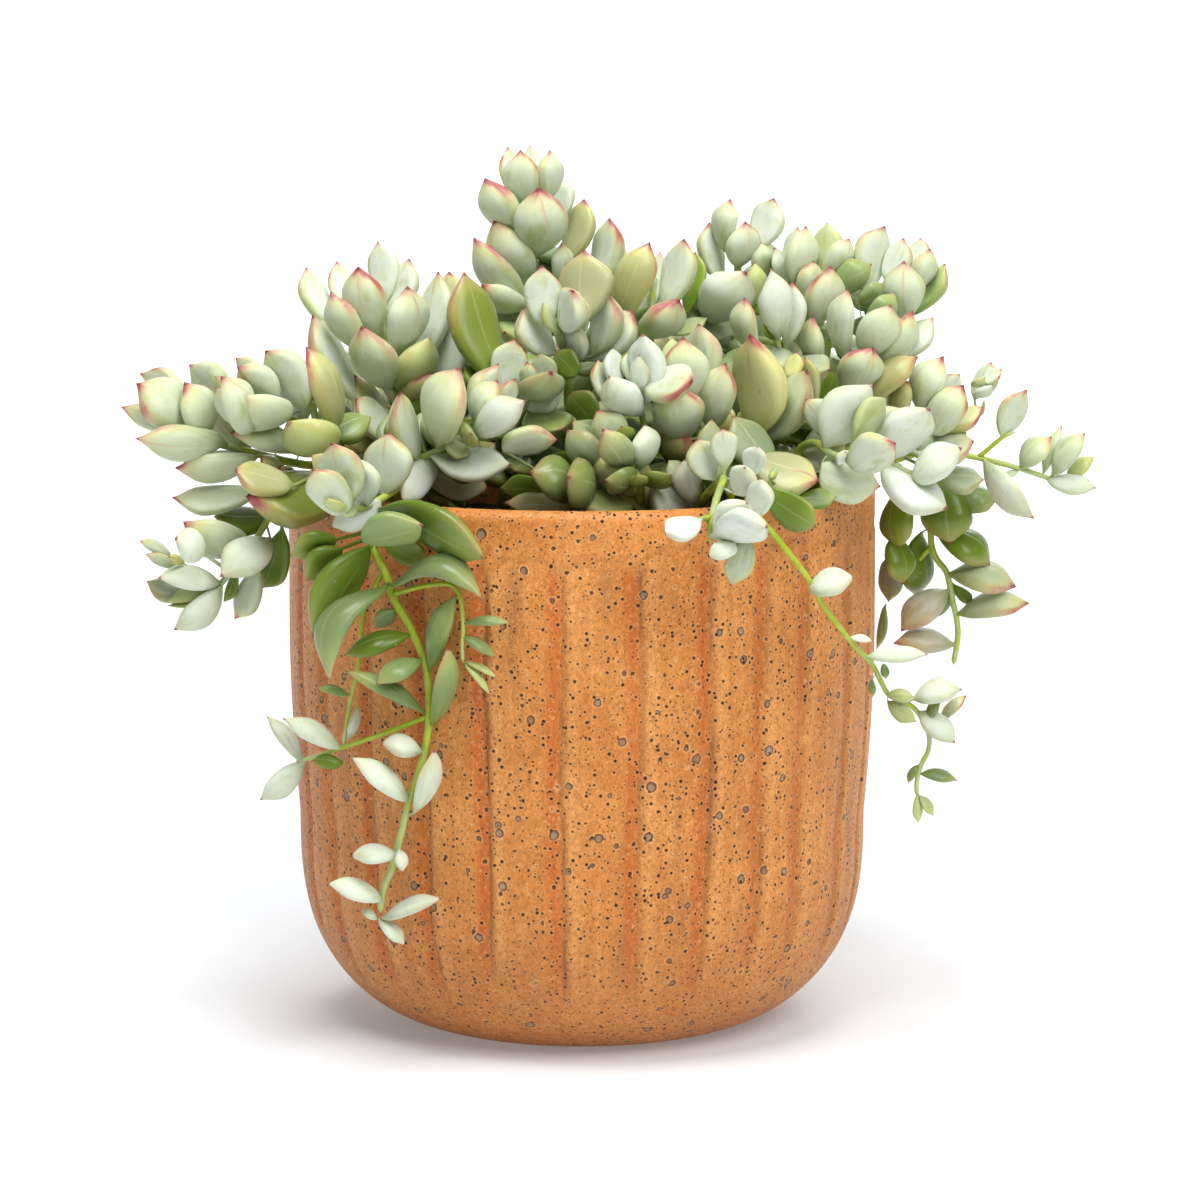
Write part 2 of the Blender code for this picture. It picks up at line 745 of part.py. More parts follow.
def settle(branches, leaves, rounds=60):
    """Moves leaves along the line of sight until they no longer run through each other."""
    view = np.array([unit(EYE - (leaf.foot + leaf.tip) / 2) for leaf in leaves])
    shape = [leaf.balls() for leaf in leaves]
    c = np.array([s[0] for s in shape])
    r = np.array([s[1] for s in shape])
    home = np.array([leaf.branch for leaf in leaves])
    middle = c.mean(axis=1)
    size = np.linalg.norm(c - middle[:, None], axis=2).max(axis=1) + r.max(axis=1)
    gap = np.linalg.norm(middle[:, None] - middle[None], axis=2) - size[:, None] - size[None]
    i, j = np.nonzero(np.triu(gap < 10, 1))
    stems = []
    for b, (_, lines) in enumerate(branches):
        for radius, line in lines:
            stems += [(b, *q, radius) for q in line[::2]]
    stems = np.array(stems)
    moved = np.zeros(len(leaves))
    for step in range(rounds):
        at = c + (view * moved[:, None])[:, None]
        push = np.zeros(len(leaves))
        hits = np.zeros(len(leaves))
        d = at[i][:, :, None] - at[j][:, None]
        far = np.linalg.norm(d, axis=3) - r[i][:, :, None] - r[j][:, None]
        own = (home[i] == home[j])[:, None, None]
        early = np.zeros((15, 15), bool)
        early[:3, :] = True
        early[:, :3] = True
        far = np.where(own & early[None], 1.0, far)
        flat = far.reshape(len(i), -1)
        k = flat.argmin(axis=1)
        deep = np.minimum(0, flat[np.arange(len(i)), k] - 0.15)
        ka, kb = k // 15, k % 15
        along = ((at[i, ka] - at[j, kb]) * (view[i] + view[j]) / 2).sum(axis=1)
        base = ((middle[i] - middle[j]) * view[i]).sum(axis=1)
        sign = np.where(np.abs(along) > 0.3, np.sign(along), np.where(base >= 0, 1, -1))
        amount = -deep * sign * 0.35
        np.add.at(push, i, amount)
        np.add.at(push, j, -amount)
        np.add.at(hits, i, deep < 0)
        np.add.at(hits, j, deep < 0)
        for b in range(len(branches)):
            mine = home == b
            others = stems[stems[:, 0] != b]
            d = at[mine][:, :, None] - others[None, None, :, 1:4]
            far = np.linalg.norm(d, axis=3) - r[mine][:, :, None] - others[None, None, :, 4] - 0.2
            flat = far.reshape(mine.sum(), -1)
            k = flat.argmin(axis=1)
            deep = np.minimum(0, flat[np.arange(len(k)), k])
            kk = k // len(others)
            oo = k % len(others)
            v = view[mine]
            along = ((at[mine][np.arange(len(k)), kk] - others[oo, 1:4]) * v).sum(axis=1)
            push[mine] += -deep * np.where(along >= 0, 1, -1) * 0.5
            hits[mine] += deep < 0
        need, lift = out_of_pot(at.reshape(-1, 3), r.reshape(-1))
        need = need.reshape(len(leaves), -1)
        rad = np.hypot(at[..., 0], at[..., 1])
        facing = -(at[..., 1]) / np.maximum(rad, 1)  # how far the outward way runs to the front
        worst = np.abs(need).argmax(axis=1)
        n = need[np.arange(len(leaves)), worst]
        f = facing[np.arange(len(leaves)), worst]
        push += np.where(np.abs(f) > 0.3, n / np.where(np.abs(f) > 0.3, f, 1) * 0.6, n * 0.6)
        push /= np.maximum(1, hits * 0.6)
        moved = np.clip(moved + np.clip(push, -1.2, 1.2), -16, 16)
    for leaf, m, v in zip(leaves, moved, view):
        leaf.move(v * m)


def fill(branches, leaves):
    """Shaded leaves along the inner stems, grown towards whatever gap the crown still shows
    from the front, from above or from behind."""
    rng = np.random.default_rng(21)
    shapes = [leaf.balls() for leaf in leaves]
    c = np.concatenate([q[0] for q in shapes])
    r = np.concatenate([q[1] for q in shapes])
    home = np.repeat([leaf.branch for leaf in leaves], 15)
    spots = []
    for b, (_, lines) in enumerate(branches):
        radius, line = lines[0]
        for k in range(3, len(line) - 1):
            if math.hypot(line[k, 0], line[k, 1]) < POT_R + 12 and line[k, 2] > SOIL_Z + 4:
                spots.append((b, radius, *line[k], *unit(line[k + 1] - line[k - 1])))
    spots = np.array(spots)
    stems = np.array([(b, q, *p) for b, (_, lines) in enumerate(branches) for q, line in lines for p in line[::2]])

    def on_view(view, p):
        p = np.atleast_2d(p)
        if view == 0:
            d = p - EYE
            far = d[:, 1] * math.cos(PITCH) - d[:, 2] * math.sin(PITCH)
            up = d[:, 1] * math.sin(PITCH) + d[:, 2] * math.cos(PITCH)
            return REACH * d[:, 0] / far * UNIT, -REACH * up / far * UNIT
        return (p[:, 0], p[:, 1]) if view == 1 else (p[:, 0], p[:, 2] - 160.0)

    cell = 1.7
    side = 120
    seen = np.zeros((3, side, side), bool)

    def cover(centres, radii):
        for view in range(3):
            u, v = on_view(view, centres)
            for x, y, q in zip(u, v, radii):
                q *= 0.95
                x0, x1 = int((x - q) / cell + side / 2), int((x + q) / cell + side / 2) + 1
                y0, y1 = int((y - q) / cell + side / 2), int((y + q) / cell + side / 2) + 1
                seen[view, max(0, x0 + 1) : max(0, x1), max(0, y0 + 1) : max(0, y1)] = True

    cover(c, r)
    goals = []
    for x in range(side):
        for y in range(side):
            u, v = (x + 0.5 - side / 2) * cell, (y + 0.5 - side / 2) * cell
            px, py = 600 + u / UNIT, 600 + v / UNIT
            sky = np.interp(px, [q[0] for q in SKYLINE], [q[1] for q in SKYLINE])
            if 322 < px < 900 and sky + 20 < py < 500:
                goals.append((0, x, y, [on_sheet(px, py, d) for d in (0, 10, 22, 34, 46)]))
            if math.hypot(u, v) < 60:
                goals.append((1, x, y, [np.array([u, v, z]) for z in (136.0, 146.0, 158.0)]))
            if abs(u) < 78 and 134 < v + 160 < 182 - 0.007 * u * u:
                goals.append((2, x, y, [np.array([u, d, v + 160]) for d in (58.0, 46.0, 34.0, 22.0)]))
    extra = []
    for g in rng.permutation(len(goals)):
        view, x, y, ways = goals[g]
        if seen[view, x, y]:
            continue
        for p in ways:
            gap = np.linalg.norm(spots[:, 2:5] - p, axis=1)
            order = [k for k in np.argsort(gap)[:12:3] if 4.5 < gap[k] < 13.5]
            leaf = None
            for k in order:
                at, grow, radius = spots[k, 2:5], spots[k, 5:8], spots[k, 1]
                way = unit(p - at)
                if float(way @ grow) < -0.2:
                    continue
                length = min(16.0, gap[k] + 3.5)
                foot = at + way * (radius + 0.8)
                leaf = Leaf(int(spots[k, 0]), foot, at + way * length, length * rng.uniform(0.46, 0.58), "gmsmsf"[int(rng.integers(6))], grow, at)
                leaf.plain = True
                px, py = to_sheet(leaf.tip)
                sky = np.interp(px, [q[0] for q in SKYLINE], [q[1] for q in SKYLINE])
                if not (322 < px < 903 and py > sky + 14 and (py < 500 or leaf.tip[1] > -15)):
                    leaf = None
                    continue
                lc, lr = leaf.balls()
                need, rise = out_of_pot(lc, lr)
                if np.abs(need).max() > 0 or (lc[:, 2] - lr).min() < SOIL_Z + 7.5:
                    leaf = None
                    continue
                close = np.linalg.norm(c - lc[7], axis=1) < 26
                d = np.linalg.norm(lc[:, None] - c[close][None], axis=2) - lr[:, None] - r[close][None]
                d[:6] = np.where(home[close][None] == leaf.branch, 1, d[:6])
                if d.min() < 0.05:
                    leaf = None
                    continue
                other = stems[:, 0] != leaf.branch
                d = np.linalg.norm(lc[:, None] - stems[other, 2:5][None], axis=2) - lr[:, None] - stems[other, 1][None]
                if d.min() < 0.3:
                    leaf = None
                    continue
                break
            if leaf is not None:
                extra.append(leaf)
                c, r = np.concatenate([c, lc]), np.concatenate([r, lr])
                home = np.concatenate([home, np.full(15, leaf.branch)])
                cover(lc, lr)
                break
    return extra


def plant():
    branches, leaves = front_branches()
    more, extra = back_branches(len(branches))
    branches += more
    leaves += extra
    part_stems(branches)
    settle(branches, leaves)
    leaves += fill(branches, leaves)[::2]
    for leaf in leaves:
        leaf.joint = joint_on(branches[leaf.branch][1], leaf)
    return branches, leaves


# ---- shapes ----


def shaped(name, points, faces, colour, rough):
    """A mesh object in metres from points in millimetres."""
    mesh = bpy.data.meshes.new(name)
    mesh.from_pydata([tuple(p * 0.001) for p in np.asarray(points)], [], faces)
    mesh.validate()
    obj = bpy.data.objects.new(name, mesh)
    bpy.context.scene.collection.objects.link(obj)
    painted(obj, colour, rough)
    return obj


def painted(obj, colour, rough):
    material = bpy.data.materials.new(obj.name)
    material.use_nodes = True
    shader = material.node_tree.nodes["Principled BSDF"]
    shader.inputs["Base Color"].default_value = (*colour, 1)
    shader.inputs["Roughness"].default_value = rough
    shader.inputs["Metallic"].default_value = 0
    material.diffuse_color = (*colour, 1)
    obj.data.materials.clear()
    obj.data.materials.append(material)


def rings_to_solid(rings):
    """Faces over a stack of closed rings; a ring of one point closes an end."""
    points, faces, first = [], [], []
    for ring in rings:
        first.append(len(points))
        points += list(ring)
    for (a, ra), (b, rb) in zip(zip(first, rings), zip(first[1:], rings[1:])):
        n = max(len(ra), len(rb))
        for k in range(n):
            m = (k + 1) % n
            if len(ra) == 1:
                faces.append((a, b + k, b + m))
            elif len(rb) == 1:
                faces.append((a + m, a + k, b))
            else:
                faces.append((a + m, a + k, b + k, b + m))
    volume = 0.0
    for f in faces:
        for q, r in zip(f[1:], f[2:]):
            volume += float(np.dot(points[f[0]], np.cross(points[q], points[r])))
    if volume < 0:
        faces = [tuple(reversed(f)) for f in faces]
    return points, faces


def kept(line, slack=0.7):
    """The points of a stem's line that carry its rings: where it bends by more than the slack."""
    keep = [0]
    while keep[-1] < len(line) - 1:
        a, far = keep[-1], keep[-1] + 1
        for b in range(a + 2, min(a + 12, len(line))):
            way = unit(line[b] - line[a])
            off = line[a + 1 : b] - line[a]
            off = off - np.outer(off @ way, way)
            if np.linalg.norm(off, axis=1).max() > slack:
                break
            far = b
        keep.append(far)
    return line[keep]


def through_cup(p, q):
    """Whether the straight way from p to q runs through the cup's wall."""
    way = p + np.linspace(0, 1, 12)[:, None] * (q - p)
    rad = np.hypot(way[:, 0], way[:, 1])
    return bool(((way[:, 2] < POT_H + 0.9) & (rad > POT_R - WALL - 0.8) & (rad < outer_r(np.clip(way[:, 2], 0, POT_H)) + 0.8)).any())


def joint_on(stems, leaf):
    """The point inside a stem that a leaf grows from: near its foot, and behind it."""
    way = unit(leaf.tip - leaf.foot)
    best = None
    for _, line in stems:
        pts = kept(line)
        for k, (a, b) in enumerate(zip(pts, pts[1:])):
            span = float(np.linalg.norm(b - a))
            last = 1.0 - 1.5 / span if k == len(pts) - 2 else 1.0
            for t in np.linspace(0.0, last, 6):
                q = a + (b - a) * t
                back = leaf.foot - q
                cost = float(np.linalg.norm(back)) - 0.7 * float(back @ way)
                if best is not None and cost >= best[0]:
                    continue
                cost += 40.0 * through_cup(leaf.foot, q)
                if best is None or cost < best[0]:
                    best = (cost, q)
    return best[1]


def tube(line, radius, sides=5, taper=0.75):
    """A stem: rings of points about a line, closed at both ends."""
    pts = kept(line)
    ways = np.gradient(pts, axis=0)
    side = unit(np.cross(ways[0], [0.31, 0.9, 0.2]))
    rings = [[pts[0]]]
    for k, (p, w) in enumerate(zip(pts, ways)):
        w = unit(w)
        side = unit(side - w * float(side @ w))
        over = np.cross(w, side)
        r = radius * (1 - (1 - taper) * k / (len(pts) - 1))
        rings.append([p + r * (side * math.cos(a) + over * math.sin(a)) for a in np.arange(sides) * 2 * math.pi / sides])
    rings.append([pts[-1]])
    rings[0] = [pts[0]]
    return rings_to_solid(rings)


LEAF_RINGS = ((0.27, 0.88), (0.67, 0.93))
ONE_RING = ((0.5, 1.0),)
NARROW = 4.6  # leaves under this width, and plain ones, have one ring
SECTION = ((1.0, 0.0), (0.0, 0.42), (-1.0, 0.0), (0.0, -0.68))
PLAIN_SECTION = ((1.0, 0.22), (-1.0, 0.22), (0.0, -0.80))


def leaf_shell(leaf, shrink=1.0, reach=1.0):
    """A plain leaf: a lens section, widest past the middle, that runs from inside the stem to the tip."""
    a = unit(leaf.tip - leaf.foot)
    across = np.cross(leaf.normal, a)
    back = leaf.foot - leaf.joint
    straight = float(back @ a) > 0.35 * float(np.linalg.norm(back))
    section = PLAIN_SECTION if leaf.plain else SECTION
    rings = [[leaf.joint if straight else leaf.foot - 0.3 * a]]
    petiole = min(0.5, 0.18 * leaf.width) * shrink
    if leaf.stalked and straight:
        rings.append([leaf.foot + petiole * (across * u + leaf.normal * v) for u, v in section])
    for t, f in ONE_RING if leaf.plain or leaf.width < NARROW else LEAF_RINGS:
        half = leaf.width / 2 * f * shrink
        thick = leaf.width * THICK * f * shrink
        p = leaf.centre(t * reach)
        rings.append([p + across * half * u + leaf.normal * thick * v for u, v in section])
    rings.append([leaf.centre(reach)])
    return rings_to_solid(rings)


def petiole_shell(leaf, reach=1.0):
    """A short stalk from the stem into a leaf whose foot lies beside it; None where the leaf meets the stem."""
    a = unit(leaf.tip - leaf.foot)
    back = leaf.foot - leaf.joint
    if float(back @ a) > 0.35 * float(np.linalg.norm(back)):
        return None
    end = leaf.centre(0.3 * reach)
    way = unit(end - leaf.joint)
    side = unit(np.cross(way, a + np.array([0.013, 0.021, 0.017])))
    over = np.cross(way, side)
    span = float(np.linalg.norm(end - leaf.joint))
    rings = [[leaf.joint]]
    for t in (0.15, 0.85):
        p = leaf.joint + way * span * t
        rings.append([p + 0.5 * (side * math.cos(v) + over * math.sin(v)) for v in np.arange(3) * 2 * math.pi / 3])
    rings.append([end])
    return rings_to_solid(rings)


def tree_of(points, faces):
    return BVHTree.FromPolygons([Vector(p) for p in points], [tuple(f) for f in faces])


def whole_leaf(leaf, shrink, reach):
    points, faces = leaf_shell(leaf, shrink, reach)
    stalk = petiole_shell(leaf, reach)
    if stalk:
        faces = faces + [tuple(v + len(points) for v in f) for f in stalk[1]]
        points = points + stalk[0]
    return tree_of(points, faces)


def cup():
    """The ribbed cup: its outer face runs up from the foot, over the rounded lip and down inside."""
    per = 3
    count = RIBS * per
    turn = (np.arange(count) + 0.2) * 2 * math.pi / count
    groove = np.where(np.arange(count) % per == 2, 1.0, 0.0)
    rows = []

    def ring(radius, z, depth):
        r = radius - GROOVE * groove * depth
        rows.append([np.array([r[k] * math.sin(turn[k]), -r[k] * math.cos(turn[k]), z]) for k in range(count)])

    ring(np.full(count, FOOT_R), 0.0, 0)
    for z in (3.0, 13.0, BELLY_Z, 119.0):
        ring(np.full(count, float(outer_r(z))), z, min(1, z / 25))
    ring(np.full(count, POT_R), 122.5, 0)
    ring(np.full(count, POT_R), POT_H - 1.6, 0)
    ring(np.full(count, POT_R - 1.6), POT_H, 0)
    ring(np.full(count, POT_R - WALL + 1.6), POT_H, 0)
    ring(np.full(count, POT_R - WALL), POT_H - 1.6, 0)
    ring(np.full(count, inner_r(20.0)), 20.0, 0)
    ring(np.full(count, inner_r(FLOOR_Z)), FLOOR_Z, 0)
    points, faces = rings_to_solid([[np.zeros(3)], *rows, [np.array([0, 0, FLOOR_Z])]])
    return points, faces


def inner_r(z):
    return float(outer_r(max(z - 3.0, 0.5))) - WALL if z < BELLY_Z else float(outer_r(z)) - WALL


def soil():
    count = 39
    turn = np.arange(count) * 2 * math.pi / count
    rows = []
    for r, z in (
        (inner_r(FLOOR_Z) - 1.5, FLOOR_Z + GAP),
        (inner_r(20.0) - 0.9, 20.0 + GAP),
        (inner_r(BELLY_Z) - 1.2, SOIL_Z),
    ):
        rows.append([np.array([r * math.sin(a), -r * math.cos(a), z]) for a in turn])
    return rings_to_solid([[np.array([0, 0, FLOOR_Z + GAP])], *rows, [np.array([0, 0, SOIL_Z])]])


def whole(mesh):
    """Whether a mesh is one closed body that touches itself nowhere, also with its points rounded."""
    mesh.calc_loop_triangles()
    faces = np.array([t.vertices for t in mesh.loop_triangles])
    at = np.array([v.co for v in mesh.vertices]) * 1000
    if not len(faces):
        return False
    for cell, shift in ((1e-7, 0.0), (1e-4, 0.0), (1e-4, 0.5), (1e-3, 0.0), (1e-3, 0.5)):
        _, index = np.unique(np.round(at / cell + shift), axis=0, return_inverse=True)
        sewn = index.reshape(-1)[faces]
        sewn = sewn[(sewn[:, 0] != sewn[:, 1]) & (sewn[:, 1] != sewn[:, 2]) & (sewn[:, 0] != sewn[:, 2])]
        ends = np.concatenate([sewn[:, [0, 1]], sewn[:, [1, 2]], sewn[:, [2, 0]]])
        _, edge, count = np.unique(np.sort(ends, axis=1), axis=0, return_inverse=True, return_counts=True)
        ahead = np.bincount(edge.reshape(-1), weights=ends[:, 0] < ends[:, 1], minlength=len(count))
        if (count != 2).any() or (ahead != 1).any():
            return False
    work = bmesh.new()
    work.from_mesh(mesh)
    seen, left = set(), list(work.verts)[:1]
    while left:
        v = left.pop()
        if v.index not in seen:
            seen.add(v.index)
            left += [e.other_vert(v) for e in v.link_edges]
    single = len(seen) == len(work.verts)
    work.free()
    return single


def joined(name, stems, slim, colour, rough):
    """One closed body from the stems and the leaves that grow out of them."""
    body = None
    for trial in range(12):
        fine = 1.0 - 0.012 * (trial // 2)
        shells = stems + [leaf_shell(leaf, s * fine, r) for leaf, s, r in slim]
        shells += [q for q in (petiole_shell(leaf, r) for leaf, _, r in slim) if q]
        if body:
            bpy.data.objects.remove(body)
        body = shaped(name, *shells[0], colour, rough)
        helpers = bpy.data.collections.new(name + "_leaves")
        for k, (points, faces) in enumerate(shells[1:]):
            piece = shaped(f"{name}_leaf_{k}", points, faces, colour, rough)
            bpy.context.scene.collection.objects.unlink(piece)
            helpers.objects.link(piece)
        bpy.context.scene.collection.children.link(helpers)
        union = body.modifiers.new("grow", "BOOLEAN")
        union.operation = "UNION"
        union.operand_type = "COLLECTION"
        union.collection = helpers
        union.solver = "EXACT"
        union.use_self = trial % 2 == 1
        bpy.context.view_layer.update()
        graph = bpy.context.evaluated_depsgraph_get()
        made = bpy.data.meshes.new_from_object(body.evaluated_get(graph))
        body.modifiers.clear()
        body.data = made
        for piece in list(helpers.objects):
            bpy.data.objects.remove(piece)
        bpy.data.collections.remove(helpers)
        if whole(made):
            break
    body.data.name = name
    painted(body, colour, rough)
    return body


def clear_of_neighbours(branches, leaves, still):
    """Slims leaves, and then leaves them out, until no branch runs into another piece."""
    shrink = np.full(len(leaves), 0.97)
    reach = np.ones(len(leaves))
    stems = []
    for b, (_, lines) in enumerate(branches):
        stems += [(b, tree_of(*tube(line, radius + 0.05))) for radius, line in lines]
    fixed = [tree_of(*shell) for shell in still]
    middle = np.array([(leaf.foot + leaf.tip) / 2 for leaf in leaves])
    size = np.array([leaf.length / 2 + leaf.width / 2 + np.linalg.norm(leaf.foot - leaf.joint) for leaf in leaves])
    near = np.linalg.norm(middle[:, None] - middle[None], axis=2) < size[:, None] + size[None]
    home = np.array([leaf.branch for leaf in leaves])
    near &= home[:, None] != home[None]
    pairs = np.argwhere(np.triu(near, 1))
    gone = set()
    for step in range(14):
        trees = [None if k in gone else whole_leaf(leaf, shrink[k] * 1.04 + 0.02, reach[k]) for k, leaf in enumerate(leaves)]
        hurt = {}
        for a, b in pairs:
            if trees[a] is None or trees[b] is None:
                continue
            if trees[a].overlap(trees[b]):
                hurt.setdefault(a, []).append(b)
                hurt.setdefault(b, []).append(a)
        solo = set()
        for k, tree in enumerate(trees):
            if tree is None:
                continue
            if any(tree.overlap(f) for f in fixed) or any(b != home[k] and tree.overlap(s) for b, s in stems):
                solo.add(k)
        if not hurt and not solo:
            break
        if step < 9:
            for k in set(hurt) | solo:
                shrink[k] = max(0.3, shrink[k] * 0.88)
            continue
        order = sorted(solo) + sorted(set(hurt) - solo, key=lambda k: (-len(hurt[k]), leaves[k].width, k))
        lost = set()
        for k in order:
            if k in solo or any(m not in lost for m in hurt[k]):
                lost.add(k)
        gone |= lost
    return shrink, reach, gone


TINTS = {
    "f": (0.58, 0.67, 0.55),
    "w": (0.70, 0.76, 0.70),
    "m": (0.27, 0.40, 0.16),
    "g": (0.13, 0.24, 0.05),
    "k": (0.24, 0.25, 0.05),
    "l": (0.45, 0.52, 0.17),
    "y": (0.62, 0.44, 0.10),
    "o": (0.36, 0.36, 0.14),
    "s": (0.30, 0.38, 0.27),
    "p": (0.50, 0.46, 0.40),
}


def build():
    for obj in list(bpy.data.objects):
        bpy.data.objects.remove(obj)
    pot = cup()
    shaped("pot", *pot, (0.60, 0.30, 0.13), 0.45)
    ground = soil()
    shaped("soil", *ground, (0.07, 0.045, 0.03), 0.95)
    branches, leaves = plant()
    shrink, reach, gone = clear_of_neighbours(branches, leaves, (pot, ground))
    for b, (name, lines) in enumerate(branches):
        stems = [tube(line, radius) for radius, line in lines]
        mine = [k for k, leaf in enumerate(leaves) if leaf.branch == b and k not in gone]
        tints = [TINTS[leaves[k].tint] for k in mine] or [TINTS["f"]]
        colour = tuple(float(v) for v in np.mean(tints, axis=0))
        joined(name, stems, [(leaves[k], shrink[k], reach[k]) for k in mine], colour, 0.5)
    for obj in bpy.data.objects:
        if obj.type == "MESH":
            obj.data.shade_smooth()
            obj.data.set_sharp_from_angle(angle=math.radians(50))


build()
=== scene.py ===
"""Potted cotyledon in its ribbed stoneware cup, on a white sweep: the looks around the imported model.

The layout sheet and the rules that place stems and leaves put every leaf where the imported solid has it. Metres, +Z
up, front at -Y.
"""

import math

import bpy
import numpy as np
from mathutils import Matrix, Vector, noise


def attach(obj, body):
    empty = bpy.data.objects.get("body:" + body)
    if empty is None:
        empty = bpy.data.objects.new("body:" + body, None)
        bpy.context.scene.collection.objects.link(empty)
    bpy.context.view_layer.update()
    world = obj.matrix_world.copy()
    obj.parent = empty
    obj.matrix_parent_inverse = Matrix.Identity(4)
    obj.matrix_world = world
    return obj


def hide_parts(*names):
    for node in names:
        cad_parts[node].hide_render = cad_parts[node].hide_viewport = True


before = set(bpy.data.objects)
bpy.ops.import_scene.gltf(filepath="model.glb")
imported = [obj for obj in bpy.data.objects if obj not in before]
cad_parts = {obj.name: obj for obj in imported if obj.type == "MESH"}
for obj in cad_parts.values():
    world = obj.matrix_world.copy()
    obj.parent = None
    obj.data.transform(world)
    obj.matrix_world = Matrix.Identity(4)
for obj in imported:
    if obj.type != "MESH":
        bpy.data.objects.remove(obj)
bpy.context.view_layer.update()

# ---- driving dimensions, millimetres ----
POT_H = 129.9  # height of the cup
POT_R = 70.0  # outer radius at the rim
BELLY_R = 67.9  # outer radius where the rounded bottom starts
BELLY_Z = 49.8
FOOT_R = 37.5  # radius of the flat underside
WALL = 5.6
FLOOR_Z = 8.5  # inside bottom of the cup
SOIL_Z = 117.0  # top of the soil
RIBS = 26
GROOVE = 0.75  # depth of the grooves between the ribs
GAP = 0.3  # clearance between neighbouring pieces
ROOT_GAP = 0.9  # from the soil to the middle of a stem's lower end, which is cut at a slant

# ---- the layout sheet: 1200 units square, seen from a point 1 m in front ----
EYE = np.array([4.32, -1000.0, 243.9])
PITCH = math.radians(8.18)
REACH = 4207.0
UNIT = 0.2377  # millimetres for one sheet unit beside the pot's axis

